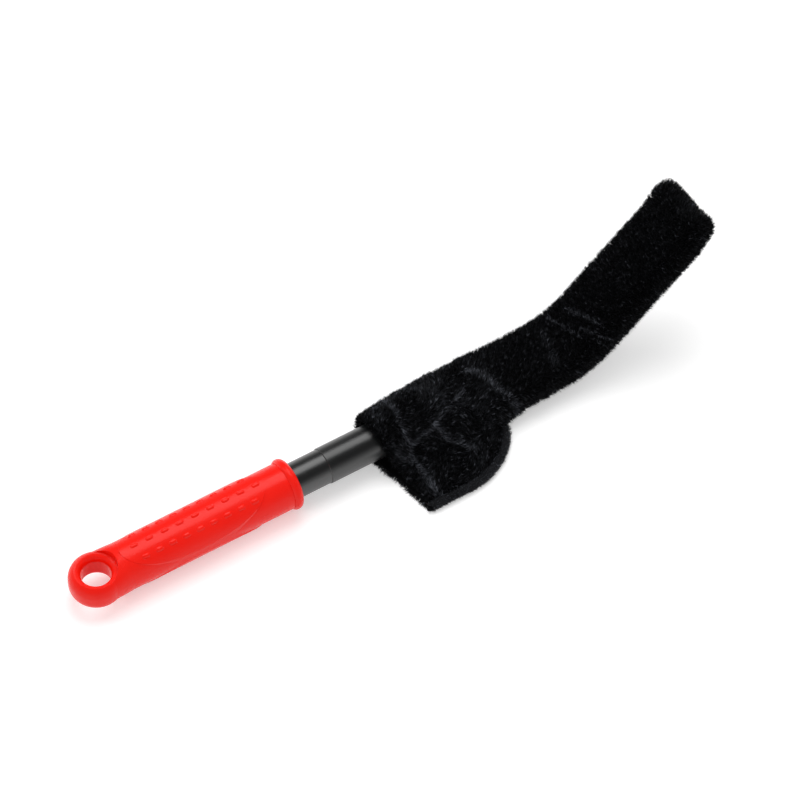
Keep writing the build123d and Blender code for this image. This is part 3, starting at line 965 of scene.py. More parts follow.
    @staticmethod
    def _between(keys: Array, table: Array, station: Array) -> Array:
        """Tables eased between key stations, in one curve where there are more than three.

        Args:
            keys: the stations that the tables belong to.
            table: one table for each key.
            station: where values are wanted.

        Returns:
            One table for each station.
        """
        index = np.clip(np.searchsorted(keys, station, side="right") - 1, 0, len(keys) - 2)
        gap = (keys[index + 1] - keys[index])[:, None, None]
        t = np.clip((station - keys[index])[:, None, None] / gap, 0.0, 1.0)
        eased = 3 * t**2 - 2 * t**3
        if len(keys) == 3:
            return table[index] + eased * (table[index + 1] - table[index])
        slope = np.gradient(table, keys, axis=0)
        return (
            (2 * t**3 - 3 * t**2 + 1) * table[index]
            + (t**3 - 2 * t**2 + t) * gap * slope[index]
            + eased * table[index + 1]
            + (t**3 - t**2) * gap * slope[index + 1]
        )

    def outside(self, side: Side, station: Array, columns: int) -> Array:
        """The surface of a panel's cloth in straight coordinates.

        Args:
            side: which panel.
            station: its rows' stations. The last ones go over the tip's rounding.
            columns: the number of places across.

        Returns:
            Station, side and height of each place.
        """
        controls = self.section_rows(side, np.minimum(station, self.tip_end))
        flat = curve_through(controls, np.linspace(0.0, controls.shape[1] - 1.0, columns))
        run = np.gradient(flat, axis=1)
        normal = unit(np.stack((run[..., 1], -run[..., 0]), axis=-1))
        depth = self.cuff_depth + (self.blade_depth - self.cuff_depth) * smooth(*self.depth_change, station)
        places = np.concatenate((np.repeat(station[:, None, None], columns, axis=1), flat), axis=-1)
        places = self._slanted_mouth(side, places)
        full = smooth(*self.full_side, places[..., 1]) * smooth(*self.full_start, places[..., 0])
        places[..., 1] += self.fullness * full * smooth(*self.full_end, places[..., 0])
        lift = self.relief(side, places)
        places[..., 1:] += normal * (lift - depth[:, None])[..., None]
        furthest = self.flare.edge_at(station)[:, None] - self.flap_overhang
        places[..., 1] = np.maximum(places[..., 1], furthest)
        return self._closed_tip(places)

    def lay(self, straight: Array) -> Array:
        """Bends straight places onto the blade as the sleeve really sits on it.

        Args:
            straight: station, distance to the tool's left and height over the line.

        Returns:
            The places in the object's frame, in metres.
        """
        seat = straight.copy()
        station = straight[..., 0]
        seat[..., 0] -= self.drawn_back * (1.0 - smooth(*self.back_end, station))
        seat[..., 1] -= self.blade_aside.at(station)
        return self.line.lay(seat)

    def relief(self, side: Side, places: Array) -> Array:
        """How far folds and unevenness lift the cloth.

        Args:
            side: which panel.
            places: straight places on it.

        Returns:
            The lift at each place, in millimetres.
        """
        station, across = places[..., 0], places[..., 1]
        seed = 11 if side is Side.UPPER else 12
        loose = 1.0 - smooth(*self.loose_end, station)
        play = self.tight_play + self.loose_play * loose
        lift = play * ripples(places[..., :2], self.play_length, seed)
        if side is Side.UPPER:
            for fold in self.folds:
                lift = lift + fold.rise * fold.strength(station, across)
        return lift * smooth(0.0, 1.0, self.tip_end - station)

    def _slanted_mouth(self, side: Side, places: Array) -> Array:
        """Moves the rows near the mouth onto its slanting line.

        Args:
            side: which panel.
            places: its straight places, which are changed.

        Returns:
            The same places.
        """
        station, across = places[..., 0], places[..., 1]
        slant = self.mouth_slant * np.clip(-across / -self.flare.edge, 0.0, 1.0)
        if side is Side.UPPER:
            slant = slant + self.upper_right.at(across) + self.upper_shift + self.upper_left.at(across)
        else:
            slant = slant + self.lower_right.at(across) + self.lower_shift
        places[..., 0] = station + slant * (1.0 - smooth(0.0, self.mouth_reach, station))
        return places

    def _closed_tip(self, places: Array) -> Array:
        """Draws the last rows together over the blade's rounded, slightly slanting end.

        Args:
            places: a panel's straight places, which are changed.

        Returns:
            The same places.
        """
        station, side, height = (places[..., axis] for axis in range(3))
        round_start = self.tip_end - self.tip_rounding
        past = np.clip((station - round_start) / self.tip_rounding, 0.0, None)
        angle = np.clip(past, 0.0, 1.0) * math.pi / 2
        inset = self.tip_rounding * (1.0 - np.cos(angle))
        face = np.clip(past - 1.0, 0.0, 1.0)
        over = station > round_start
        # station, side and height are views of places, and follow each change from here on
        places[..., 0] = np.where(over, round_start + self.tip_rounding * np.sin(angle), station)
        corner = self.corner_least + self.corner_right.at(side)
        places[..., 1] = side * (1.0 - np.where(over, corner * inset / self.tip_half_width, 0.0))
        places[..., 2] = height * (1.0 - np.where(over, inset / self.tip_half_height, 0.0)) * (1.0 - face)
        lean = smooth(*self.slant_reach, station)
        places[..., 0] += lean * (self.slant_middle + self.slant_left.at(side) + self.slant_right.at(side))
        places[..., 0] -= lean * self.right_cut.at(side) * smooth(*self.right_cut_start, past)
        places[..., 1] += self.right_inward.at(side) * smooth(*self.right_inward_reach, station)
        places[..., 1] += self.left_outward.at(side) * smooth(*self.left_outward_reach, station)
        return places


# ---- The object's pieces ----


class Body(Enum):
    """The CAD's bodies."""

    HANDLE = "handle"
    MIDDLE = "blade_middle"
    TIP = "blade_tip"

@dataclass(frozen=True)
class Stretch:
    """A length of the blade that bends over one joint, and the CAD's parts in that length."""

    label: str
    start: float
    end: float
    before: Body
    after: Body
    turn_start: float
    turn_end: float
    parts: tuple[str, ...]

    def rows(self, start: float, end: float, step: float) -> Array:
        """Stations of a piece's rows in this length.

        Args:
            start: where the whole piece starts.
            end: where the whole piece ends.
            step: about how far apart the rows are.

        Returns:
            The stations, evenly spaced.
        """
        start, end = max(start, self.start), min(end, self.end)
        return np.linspace(start, end, int((end - start) / step) + 2)

    def place(self, piece: bpy.types.Object, stem: str, line: BladeLine) -> None:
        """Puts a piece in place of this length's nodes, hiding them, and bakes its place into its points.

        Args:
            piece: the new piece.
            stem: the name that the replaced nodes have before their part's.
            line: the blade's line.
        """
        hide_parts(*(f"{stem}_{part}" for part in self.parts))
        self.follow(piece, line)
        LOG.info("%s: %d faces", piece.name, len(piece.data.polygons))

    def follow(self, piece: bpy.types.Object, line: BladeLine) -> None:
        """Bakes a piece's place into its points. The line's points at the turn's start and end are found but
        not used.
        """
        start, end = line.point(self.turn_start), line.point(self.turn_end)
        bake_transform(piece)


REAR = Stretch("rear", 0.0, 171.0, Body.HANDLE, Body.MIDDLE, 112.0, 164.0, ("rear", "bend"))
FRONT = Stretch(
    "front", 171.0, 254.2, Body.MIDDLE, Body.TIP, 180.0, 222.0, ("middle", "tip_bend", "tip")
)


@dataclass
class Handle:
    """The rigid pieces, which the CAD already has in their full shape."""

    finishes: Finishes
    nodes: dict[str, bpy.types.Object]

    def dress(self) -> None:
        """Gives each rigid node its material."""
        for node, material in (
            ("grip", self.finishes.grip),
            ("handle_tube", self.finishes.tube),
            ("neck", self.finishes.neck),
            ("strip_rivets", self.finishes.rivets),
            ("strip_end_cap", self.finishes.end_cap),
        ):
            for slot in self.nodes[node].material_slots:
                slot.material = material
            LOG.info("%s dressed in %s", node, material.name)


@dataclass
class Sleeve:
    """The cloth of the two plush panels."""

    finishes: Finishes
    shape: SleeveShape = field(default_factory=SleeveShape)
    cloth: float = 1.2
    columns: int = 72
    cuff_end: float = 96.0
    cuff_step: float = 1.5
    shoulder_rows: int = 31
    blade_step: float = 2.5
    tip_length: float = 9.0
    tip_gap: float = 0.5
    tip_rows: int = 10
    face_reach: Span = (1.8, 8.0)
    face_rows: int = 4
    sharp_angle: float = 60.0
    grids: dict[tuple[Side, str], tuple[Array, Array]] = field(default_factory=dict)

    def stations(self, stretch: Stretch) -> Array:
        """Stations of the rows, closer together in the cuff and over the tip.

        Args:
            stretch: the length of the blade.

        Returns:
            The stations, the last ones of the tip counted on over its face.
        """
        if stretch is REAR:
            cuff = np.arange(0.0, self.cuff_end, self.cuff_step)
            return np.concatenate((cuff, np.linspace(self.cuff_end, stretch.end, self.shoulder_rows)))
        end = self.shape.tip_end
        blade = np.arange(stretch.start, end - self.tip_length - self.tip_gap, self.blade_step)
        tip = np.linspace(end - self.tip_length, end, self.tip_rows)
        face = np.linspace(end + self.face_reach[0], end + self.face_reach[1], self.face_rows)
        return np.concatenate((blade, tip, face))

    def make(self) -> None:
        """Makes the four lengths of cloth and keeps their grids for the pile."""
        for side in Side:
            for stretch in (REAR, FRONT):
                straight = self.shape.outside(side, self.stations(stretch), self.columns)
                placed = self.shape.lay(straight)
                self.grids[side, stretch.label] = straight, placed
                name = f"plush_cloth_{side.value}_{stretch.label}"
                piece = thick_cloth(name, placed, self.cloth)
                shade_smooth(piece, self.sharp_angle)
                dress(piece, self.finishes.backing)
                stretch.place(piece, f"{side.value}_panel", self.shape.line)


@dataclass
class EdgeTape:
    """The tape that is folded over the flap's edge.

    Its section is a run of distances inwards from the edge and heights over the floor.
    """

    finishes: Finishes
    shape: SleeveShape
    start: float = 9.2
    last_side: float = -24.5
    thickness: float = 0.6
    section: tuple[tuple[float, float], ...] = (
        (3.4, 5.4), (3.2, 6.3), (2.4, 6.9), (1.4, 6.8), (0.3, 6.1), (-0.45, 4.9), (-0.6, 3.5),
        (-0.3, 2.0), (0.5, 0.8), (1.6, 0.25), (2.8, 0.3), (3.3, 0.9),
    )
    rows: int = 130
    columns: int = 30
    unevenness: Wave = Wave(0.18, 9.0, 51)
    upper_half: float = 3.0
    upper_share: float = 0.5
    end_rows: float = 5.0
    end_drawn: Ease = Ease(2.4, 2.5, -0.6)
    sharp_angle: float = 60.0
    grid: tuple[Array, Array] | None = None

    def make(self) -> None:
        """Makes the tape and keeps its grid for the nap."""
        edge = self.shape.flare.edge_line(self.start, self.last_side, self.rows)
        run = unit(np.gradient(edge, axis=0))
        inward = np.stack((-run[:, 1], run[:, 0]), axis=1)[:, None]
        at = np.linspace(0.0, len(self.section) - 1.0, self.columns)
        across = curve_through(np.array(self.section)[None], at)
        wobble = self.unevenness.at(edge)[:, None]
        inset = across[..., 0] + wobble
        lifted = self.upper_share * wobble * (across[..., 1] > self.upper_half)
        height = across[..., 1] + lifted - self.shape.line.height
        near_end = 1.0 - smooth(0.0, self.end_rows, np.arange(self.rows))[:, None]
        points = np.stack(
            (
                edge[:, None, 0] + inward[..., 0] * inset + near_end * self.end_drawn.at(inset),
                edge[:, None, 1] + inward[..., 1] * inset,
                height,
            ),
            axis=-1,
        )
        self.grid = points, self.shape.lay(points)
        piece = thick_cloth("edge_tape", self.grid[1], self.thickness)
        shade_smooth(piece, self.sharp_angle)
        dress(piece, self.finishes.tape)
        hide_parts("edge_binding")
        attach(piece, Body.HANDLE.value)
        LOG.info("%s: %d faces", piece.name, len(piece.data.polygons))


# A tuft's faces, how far along it each of its seven points is, and their places on its map
TUFT_FACES = (
    (0, 1, 4), (0, 4, 3), (1, 2, 5), (1, 5, 4), (2, 0, 3), (2, 3, 5), (3, 4, 6), (4, 5, 6), (5, 3, 6),
)
TUFT_ALONG = (0.0, 0.0, 0.0, 0.5, 0.5, 0.5, 1.0)
TUFT_MAP = ((0.15, 0.1), (0.5, 0.1), (0.85, 0.1), (0.2, 0.5), (0.5, 0.5), (0.8, 0.5), (0.5, 0.9))
# Height over the floor that no tuft goes below, and a station at which pile isn't crushed
FLOOR_GAP = 0.2
UNCRUSHED = 200.0


@dataclass(frozen=True)
class Roots:
    """Where tufts stand, the cloth's outward and forward directions, and the straight places."""

    place: Array
    normal: Array
    forward: Array
    plan: Array


@dataclass
class Pile:
    """The fur of the plush, as tufts of three sides that stand on the cloth.

    Crushed pile is that of the cuff, which lies flatter and in swirls. Amounts with the word
    crushed are added there.
    """

    finishes: Finishes
    sleeve: Sleeve
    tape: EdgeTape
    # Tufts for a square millimetre of cloth and for a millimetre of rim
    density: float = 2.5
    rim_density: float = 14.0
    rim_turn: float = 2.2
    rim_depth: float = 0.6
    rim_lift: float = 0.3
    seed: int = 20
    # A tuft's size
    length: float = 4.1
    length_share: float = 0.9
    length_crushed: float = -0.05
    length_play: float = 0.20
    length_limits: Span = (0.5, 1.6)
    width: float = 0.36
    width_limits: Span = (0.75, 1.2)
    foot_share: float = 0.9
    foot_depth: float = 0.2
    nap_share: float = 0.32
    # Its heading on the cloth and its lean in degrees
    crushed_end: Span = (72.0, 96.0)
    swirl: Wave = Wave(1.6, 26.0, 31)
    stir: Wave = Wave(0.35, 9.0, 32)
    heading_play: float = 0.55
    heading_crushed: float = -0.4
    lean: float = 20.0
    lean_crushed: float = 13.0
    lean_wave: Wave = Wave(8.0, 7.0, 33)
    lean_play: float = 11.0
    early_lean: float = 0.55
    twist: float = 0.2
    # Its shade: an even part of random tone, a painted glitter of small highlights, painted sheen in lighter
    # patches on the cuff, and the painted glint of folds
    shade_crushed_end: Span = (74.0, 98.0)
    even: float = 0.20
    even_odds: Span = (1.1, 6.0)
    # Painted glitter: small painted highlights scattered over the pile
    glitter_waves: tuple[tuple[float, int], ...] = ((1.5, 42), (2.1, 43))
    glitter_layers: int = 9
    glitter: float = 1.5
    glitter_crushed: float = 0.3
    # Painted sheen: the crushed pile of the cuff is painted lighter in broad patches
    patches: float = 0.75
    patches_crushed: float = 0.45
    patch_wave: Wave = Wave(1.0, 14.0, 41)
    # Painted glint of folds: a base, and random sparks that are stronger where the painted glitter crests
    spark: float = 0.08
    spark_plain: float = 0.70
    spark_glitter: float = 9.0
    # The nap's even part, its painted glitter and its random part
    nap_shades: tuple[float, float, float] = (0.16, 1.4, 0.6)
    # Heights in millimetres over which the nap's painted shade near the floor fades out
    nap_painted_floor_shade: Span = (0.5, 5.0)

    def make(self) -> None:
        """Makes the pile in lengths of the sleeve, none of them too large, and the tape's nap."""
        for side in Side:
            for label, stretch, start, end in (
                ("cuff", REAR, -math.inf, 62.0),
                ("shoulder", REAR, 62.0, 122.0),
                ("bend", REAR, 122.0, math.inf),
                ("tip", FRONT, -math.inf, math.inf),
            ):
                self._piece(side, label, stretch, (start, end))
        self._nap()

    def _nap(self) -> None:
        """Makes the short nap of the tape, with painted glitter, and darker close to the floor, which is
        painted shade.
        """
        chance = np.random.default_rng(self.seed)
        roots = self._roots(chance, self.tape.grid, (-math.inf, math.inf))
        points = roots.place[:, None]
        points = points + (self._tufts(chance, roots) - points) * self.nap_share
        least, glitter, random = self.nap_shades
        # Random tone with painted glitter, small painted highlights
        shade = least + glitter * self._painted_glitter(roots.plan) + random * chance.random(len(points)) ** 3
        height = roots.plan[:, 2] + self.sleeve.shape.line.height
        # Painted shade: the nap is darkened towards the floor
        piece = self._grow("edge_tape_nap", points, shade * smooth(*self.nap_painted_floor_shade, height))
        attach(piece, Body.HANDLE.value)

    def _piece(self, side: Side, label: str, stretch: Stretch, span: Span) -> None:
        """Makes one length of pile.

        Args:
            side: the panel that it stands on.
            label: the length's name.
            stretch: the length of cloth that carries it.
            span: stations of its first and last tufts.
        """
        grid = self.sleeve.grids[side, stretch.label]
        chance = np.random.default_rng(self.seed + hash_of(side.value + label))
        roots = self._roots(chance, grid, span)
        points, plan = self._tufts(chance, roots), roots.plan
        if label == "cuff":
            rim = self._rim(chance, grid)
            points = np.concatenate((points, self._tufts(chance, rim)))
            plan = np.concatenate((plan, rim.plan))
        piece = self._grow(f"plush_pile_{side.value}_{label}", points, self._shade(chance, side, plan))
        if label == "cuff":
            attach(piece, Body.HANDLE.value)
        else:
            stretch.follow(piece, self.sleeve.shape.line)

    def _roots(self, chance: np.random.Generator, grid: tuple[Array, Array], span: Span) -> Roots:
        """Scatters roots evenly over the cloth.

        Args:
            chance: the source of random numbers.
            grid: the cloth's grid in straight coordinates and in metres.
            span: stations of the first and last roots.

        Returns:
            The roots.
        """
        straight, placed = grid
        towards, across = np.gradient(placed, axis=(0, 1))
        area = np.linalg.norm(np.cross(towards, across), axis=-1) / MM**2
        cell = 0.25 * (area[:-1, :-1] + area[1:, :-1] + area[:-1, 1:] + area[1:, 1:])
        middle = 0.5 * (straight[:-1, :-1, 0] + straight[1:, 1:, 0])
        cell = np.where((middle >= span[0]) & (middle < span[1]), cell, 0.0)
        total = cell.sum()
        count = int(total * self.density)
        pick = np.searchsorted(np.cumsum(cell.ravel()) / total, chance.random(count))
        row, column = np.divmod(pick, cell.shape[1])
        a, b = chance.random((2, count))[:, :, None]

        def read(values: Array) -> Array:
            """The grid's values at the picked places."""
            near = values[row, column] * (1 - a) + values[row + 1, column] * a
            return near * (1 - b) + (values[row, column + 1] * (1 - a) + values[row + 1, column + 1] * a) * b

        outward = unit(np.cross(across, towards))
        return Roots(read(placed), unit(read(outward)), unit(read(towards)), read(straight))

    def _rim(self, chance: np.random.Generator, grid: tuple[Array, Array]) -> Roots:
        """Scatters roots along the mouth's rim, turned over it.

        Args:
            chance: the source of random numbers.
            grid: the cloth's grid in straight coordinates and in metres.

        Returns:
            The roots, whose stations are those of uncrushed pile.
        """
        straight, placed = grid
        towards = unit(np.gradient(placed, axis=0)[0])
        outward = unit(np.cross(np.gradient(placed, axis=1)[0], towards))
        run = np.linalg.norm(np.diff(placed[0], axis=0), axis=1)
        count = int(run.sum() / MM * self.rim_density)
        pick = np.searchsorted(np.cumsum(run) / run.sum(), chance.random(count))
        part = chance.random(count)[:, None]
        over = chance.uniform(0.0, self.rim_turn, count)[:, None]

        def read(row: Array) -> Array:
            """The row's values at the picked places."""
            return row[pick] * (1 - part) + row[pick + 1] * part

        back, out = read(towards), read(outward)
        plan = read(straight[0])
        plan[:, 0] = UNCRUSHED
        roots = read(placed[0]) - out * (self.rim_depth * over / (1.0 + over)) * MM
        return Roots(roots, unit(out - over * back), unit(back + self.rim_lift * out), plan)

    def _tufts(self, chance: np.random.Generator, roots: Roots) -> Array:
        """Grows a tuft on each root.

        Args:
            chance: the source of random numbers.
            roots: where the tufts stand.

        Returns:
            Seven points for each tuft: three at its foot, three at its middle and its tip.
        """
        normal, forward, plan = roots.normal, roots.forward, roots.plan[:, :2]
        count = len(plan)
        crushed = 1.0 - smooth(*self.crushed_end, plan[:, 0])
        heading = self.swirl.at(plan) * crushed + self.stir.at(plan)
        free = 1.0 + self.heading_crushed * crushed
        heading = heading + chance.normal(0.0, self.heading_play, count) * free
        lean = np.radians(self.lean + self.lean_crushed * crushed + self.lean_wave.at(plan) * crushed)
        lean = lean + chance.normal(0.0, math.radians(self.lean_play), count)
        length = self.length * (self.length_share + self.length_crushed * crushed)
        length = length * chance.normal(1.0, self.length_play, count).clip(*self.length_limits) * MM
        width = self.width * chance.uniform(*self.width_limits, count) * MM / math.sqrt(3.0)
        turn = chance.uniform(0.0, 2 * math.pi, count)

        def aimed(one: Array, other: Array, angle: Array) -> Array:
            """Directions turned from one towards the other by an angle."""
            return one * np.cos(angle)[:, None] + other * np.sin(angle)[:, None]

        flat = aimed(forward, np.cross(normal, forward), heading)
        growth = aimed(normal, flat, lean)
        early = aimed(normal, flat, self.early_lean * lean)
        middle = roots.place + early * (0.5 * length)[:, None]
        first = unit(np.cross(growth, normal + self.twist * forward))
        second = np.cross(growth, first)
        foot = roots.place - normal * (self.foot_depth * MM)
        points = np.empty((count, 7, 3))
        for corner in range(3):
            spoke = aimed(first, second, turn + corner * 2 * math.pi / 3)
            points[:, corner] = foot + spoke * (self.foot_share * width)[:, None]
            points[:, corner + 3] = middle + spoke * width[:, None]
        points[:, 6] = middle + unit(2 * growth - early) * (0.5 * length)[:, None]
        return points

    def _painted_glitter(self, plan: Array) -> Array:
        """The painted glitter of the tufts, small painted highlights, from 0 up, at their straight places.
        """
        crests = (ripples(plan, *wave, self.glitter_layers).clip(0.0, None) for wave in self.glitter_waves)
        return math.prod(crests)

    def _shade(self, chance: np.random.Generator, side: Side, plan: Array) -> Array:
        """How light each tuft is: random tone, painted glitter, painted sheen in patches on the cuff and
        painted glints along folds.

        Args:
            chance: the source of random numbers.
            side: the panel.
            plan: the tufts' straight places.

        Returns:
            Shades from 0 to 1.
        """
        count = len(plan)
        crushed = 1.0 - smooth(*self.shade_crushed_end, plan[:, 0])
        fine = self._painted_glitter(plan)
        # An even part of tone that differs at random
        shade = chance.beta(*self.even_odds, count) * self.even
        # Painted glitter: small painted highlights where the glitter pattern crests
        shade = shade + (self.glitter + self.glitter_crushed * crushed) * fine * chance.random(count)
        # Painted sheen: the crushed pile of the cuff is painted lighter in broad patches
        patches = self.patches_crushed * crushed * (1.0 + self.patch_wave.at(plan[:, :2]))
        shade = shade * (self.patches + patches)
        # Painted highlight along the upper panel's folds, by each fold's painted glint
        if side is Side.UPPER:
            for fold in self.sleeve.shape.folds:
                near = fold.strength(plan[:, 0], plan[:, 1])
                bright = self.spark_plain + self.spark_glitter * fine
                shade = shade + fold.painted_glint * near * (self.spark + bright * chance.random(count) ** 3)
        return shade.clip(0.0, 1.0)

    def _grow(self, name: str, points: Array, shade: Array) -> bpy.types.Object:
        """Makes a piece of tufts.

        Args:
            name: the piece's name.
            points: seven points for each tuft.
            shade: how light each tuft is.

        Returns:
            The new piece, dressed.
        """
        count = len(points)
        corners = np.array(TUFT_FACES)
        faces = (corners[None] + 7 * np.arange(count)[:, None, None]).reshape(-1, 3)
        flat = points.reshape(-1, 3)
        flat[:, 2] = np.maximum(flat[:, 2], FLOOR_GAP * MM)
        piece = piece_of(name, flat, faces)
        mesh = piece.data
        for label, values in (("shade", np.repeat(shade, 7)), ("along", np.tile(TUFT_ALONG, count))):
            attribute = mesh.attributes.new(label, "FLOAT", "POINT")
            attribute.data.foreach_set("value", values.astype(np.float32))
        # Each tuft has its own small square of the map
        cells = math.ceil(math.sqrt(count))
        number = np.arange(count)
        origin = np.stack((number % cells, number // cells), axis=1)[:, None, :]
        places = (origin + np.array(TUFT_MAP)[corners.ravel()][None]) / cells
        mesh.uv_layers.new(name=BAKE_MAP).uv.foreach_set("vector", places.astype(np.float32).ravel())
        mesh.shade_smooth()
        dress(piece, self.finishes.pile)
        LOG.info("%s: %d tufts", name, count)
        return piece


def hash_of(text: str) -> int:
    """A number that stands for a text and is the same in every run."""
    return sum((index + 1) * ord(letter) for index, letter in enumerate(text))


@dataclass
class CoreStrip:
    """The bendable metal strip inside the blade."""

    finishes: Finishes
    line: BladeLine
    width: float = 20.0
    thickness: float = 2.5
    start: float = 29.0
    end: float = 242.1
    step: float = 3.0
    columns: int = 9
    edge_round: float = 0.3
    sharp_angle: float = 40.0

    def make(self) -> None:
        """Makes the strip in two lengths, one for each joint."""
        side = np.linspace(self.width / 2, -self.width / 2, self.columns)
        for stretch in (REAR, FRONT):
            rows = stretch.rows(self.start, self.end, self.step)
            places = np.empty((len(rows), len(side), 3))
            places[..., 0] = rows[:, None]
            places[..., 1] = side[None]
            places[..., 2] = self.thickness / 2
            name = f"core_strip_{stretch.label}_length"
            piece = thick_cloth(name, self.line.lay(places), self.thickness)
            apply_modifier(
                piece, "BEVEL", width=self.edge_round * MM, segments=2, limit_method="ANGLE", angle_limit=1.0
            )
            shade_smooth(piece, self.sharp_angle)
            dress(piece, self.finishes.strip)
            stretch.place(piece, "core_strip", self.line)


@dataclass
class Pads:
    """The foam above and below the strip, slightly crowned and softer at its ends."""

    finishes: Finishes
    line: BladeLine
    half_width: float = 18.4
    top: float = 7.1
    base: float = 1.3
    start: float = 80.5
    end: float = 234.0
    step: float = 3.0
    corner: float = 4.5
    corner_points: int = 6
    flat_points: int = 12
    crown: float = 0.25
    end_drop: float = 0.12
    end_length: float = 2.0
    sharp_angle: float = 50.0

    def make(self) -> None:
        """Makes an upper and a lower pad, each in two lengths."""
        for side in Side:
            for stretch in (REAR, FRONT):
                self._length(side, stretch)

    def _section(self) -> tuple[Array, Array]:
        """Goes once round the pad's section.

        Returns:
            Side and height of each point, the first one repeated at the end.
        """
        angle = np.linspace(0.0, math.pi / 2, self.corner_points)
        round_side = self.half_width - self.corner * (1 - np.cos(angle))
        round_up = self.top - self.corner * (1 - np.sin(angle))
        inner = self.half_width - self.corner
        flat = np.linspace(inner, -inner, self.flat_points)[1:-1]
        back = np.linspace(-self.half_width, self.half_width, self.flat_points)
        side = np.concatenate((round_side, flat, -round_side[::-1], back, round_side[:1]))
        top, base = np.full(len(flat), self.top), np.full(len(back), self.base)
        up = np.concatenate((round_up, top, round_up[::-1], base, round_up[:1]))
        crown = self.crown * np.cos(side / self.half_width * math.pi / 2)
        return side, up + crown * (up > self.base)

    def _length(self, side: Side, stretch: Stretch) -> None:
        """Makes one length of a pad.

        Args:
            side: above or below the strip.
            stretch: the part of the blade that it lies in.
        """
        sign = 1.0 if side is Side.UPPER else -1.0
        rows = stretch.rows(self.start, self.end, self.step)
        across, up = self._section()
        drops = (np.exp(-(((rows - end) / self.end_length) ** 2)) for end in (self.start, self.end))
        soft = 1.0 - self.end_drop * sum(drops)
        places = np.empty((len(rows), len(across), 3))
        places[..., 0] = rows[:, None]
        places[..., 1] = across[None] * sign
        places[..., 2] = sign * (self.base + (up[None] - self.base) * soft[:, None])
        piece = grid_cloth(f"pad_{side.value}_{stretch.label}", self.line.lay(places))
        make_active(piece)
        bpy.ops.object.mode_set(mode="EDIT")
        bpy.ops.mesh.select_all(action="SELECT")
        bpy.ops.mesh.remove_doubles(threshold=0.01 * MM)
        bpy.ops.mesh.fill_holes(sides=0)
        bpy.ops.mesh.select_all(action="SELECT")
        bpy.ops.mesh.normals_make_consistent(inside=False)
        bpy.ops.object.mode_set(mode="OBJECT")
        shade_smooth(piece, self.sharp_angle)
        dress(piece, self.finishes.foam)
        stretch.place(piece, f"{side.value}_pad", self.line)


# ---- Camera, floor and light ----


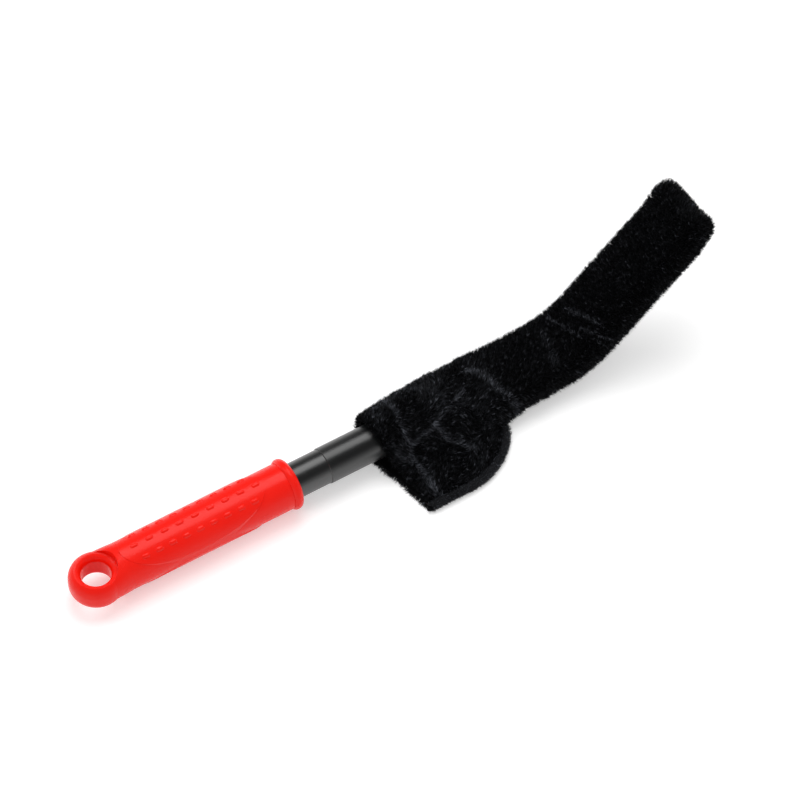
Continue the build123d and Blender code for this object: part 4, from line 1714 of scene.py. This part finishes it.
@dataclass
class Studio:
    """A pale floor under soft light, seen from the photograph's angle."""

    azimuth: float = -31.5
    elevation: float = 54.3
    distance: float = 4.0
    frame_width: float = 0.4888
    sensor: float = 36.0
    aim_right: float = 0.0016
    aim_up: float = 0.0401
    floor_size: float = 6.0
    floor_tone: float = 0.9
    floor_glow: float = 0.36
    # Each lamp's name, place, size and power
    lamps: tuple[tuple[str, tuple[float, float, float], float, float], ...] = (
        ("overhead_lamp", (0.25, 0.42, 1.4), 1.0, 9.0),
        ("left_lamp", (-0.9, 0.7, 1.1), 0.5, 2.0),
    )
    surroundings: float = 0.66
    wall_glow: float = 0.9
    ceiling_glow: float = 0.10
    wall_top: Span = (0.05, 0.5)

    def make(self) -> None:
        """Sets up the camera, the floor, the lamps and the world."""
        self._camera()
        self._floor()
        self._lamps()
        self._world()

    def _camera(self) -> None:
        """Places the camera."""
        turn, rise = math.radians(self.azimuth), math.radians(self.elevation)
        away = Vector((-math.sin(turn), math.cos(turn), 0.0))
        right = Vector((math.cos(turn), math.sin(turn), 0.0))
        looking = away * math.cos(rise) - Vector((0, 0, 1)) * math.sin(rise)
        up = right.cross(looking)
        aim = right * self.aim_right + up * self.aim_up
        data = bpy.data.cameras.new("camera")
        data.sensor_width = self.sensor
        data.lens = self.sensor * self.distance / self.frame_width
        camera = bpy.data.objects.new("camera", data)
        bpy.context.scene.collection.objects.link(camera)
        turned = Matrix((right, up, -looking)).transposed().to_4x4()
        camera.matrix_world = Matrix.Translation(aim - looking * self.distance) @ turned
        bpy.context.scene.camera = camera

    def _floor(self) -> None:
        """Lays the floor, which looks white to the camera."""
        deselect_all()
        bpy.ops.mesh.primitive_grid_add(x_subdivisions=4, y_subdivisions=4, size=self.floor_size)
        floor = named("floor")
        material = bpy.data.materials.new("PaleFloor")
        material.use_nodes = True
        sheet = NodeSheet(material.node_tree)
        shader = material.node_tree.nodes["Principled BSDF"]
        for socket, value in (
            ("Base Color", (self.floor_tone,) * 3),
            ("Roughness", 0.9),
            ("Specular IOR Level", 0.1),
            ("Emission Color", WHITE),
            ("Emission Strength", sheet.maths("MULTIPLY", seen_directly(sheet), self.floor_glow)),
        ):
            sheet.give(shader.inputs[socket], value)
        dress(floor, material)
        floor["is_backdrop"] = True

    def _lamps(self) -> None:
        """Hangs a wide lamp overhead and a weak one at the left."""
        for name, place, size, power in self.lamps:
            light = bpy.data.lights.new(name, "AREA")
            light.shape = "SQUARE"
            light.size = size
            light.energy = power
            lamp = bpy.data.objects.new(name, light)
            bpy.context.scene.collection.objects.link(lamp)
            lamp.location = place
            lamp.rotation_euler = (-Vector(place)).to_track_quat("-Z", "Y").to_euler()

    def _world(self) -> None:
        """Fills the surroundings with even light, which mirrors see as white walls under a dim ceiling."""
        world = bpy.data.worlds.new("studio")
        bpy.context.scene.world = world
        world.use_nodes = True
        sheet = NodeSheet(world.node_tree)
        background = world.node_tree.nodes["Background"]
        heading = sheet.add("ShaderNodeTexCoord").outputs["Generated"]
        rise = sheet.add("ShaderNodeSeparateXYZ", {"Vector": heading}).outputs["Z"]
        low, high = self.wall_top
        inputs = {"From Min": low, "From Max": high, "To Min": self.wall_glow, "To Max": self.ceiling_glow}
        walls = sheet.add("ShaderNodeMapRange", {"Value": rise} | inputs).outputs[0]
        sheet.give(background.inputs["Color"], WHITE)
        strength = sheet.spread(seen_directly(sheet), self.surroundings, walls)
        sheet.give(background.inputs["Strength"], strength)
        bpy.context.scene.view_settings.view_transform = "Standard"


def seen_directly(sheet: NodeSheet) -> bpy.types.NodeSocket:
    """Finds the camera's own rays and those of mirrors and glass.

    Args:
        sheet: the sheet of a material or of the world.

    Returns:
        A socket that is 1 for these rays and 0 for all others.
    """
    rays = sheet.add("ShaderNodeLightPath")
    either = sheet.maths("MAXIMUM", rays.outputs["Is Camera Ray"], rays.outputs["Is Glossy Ray"])
    return sheet.maths("MAXIMUM", either, rays.outputs["Is Transmission Ray"])


def corners(bounds: object) -> list[list[float]]:
    """The two corners of a box as plain lists of numbers."""
    return [[float(value) for value in corner] for corner in bounds]


def main() -> None:
    """Builds the object round its frame."""
    logging.basicConfig(level=logging.INFO, format="%(name)s: %(message)s")
    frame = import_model()
    cad_box = corners(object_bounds())
    Studio().make()
    finishes = Finishes()
    Handle(finishes, frame["nodes"]).dress()
    sleeve = Sleeve(finishes)
    sleeve.make()
    CoreStrip(finishes, sleeve.shape.line).make()
    Pads(finishes, sleeve.shape.line).make()
    tape = EdgeTape(finishes, sleeve.shape)
    tape.make()
    Pile(finishes, sleeve, tape).make()
    {"cad": cad_box, "visual": corners(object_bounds())}


if __name__ == "__main__":
    main()
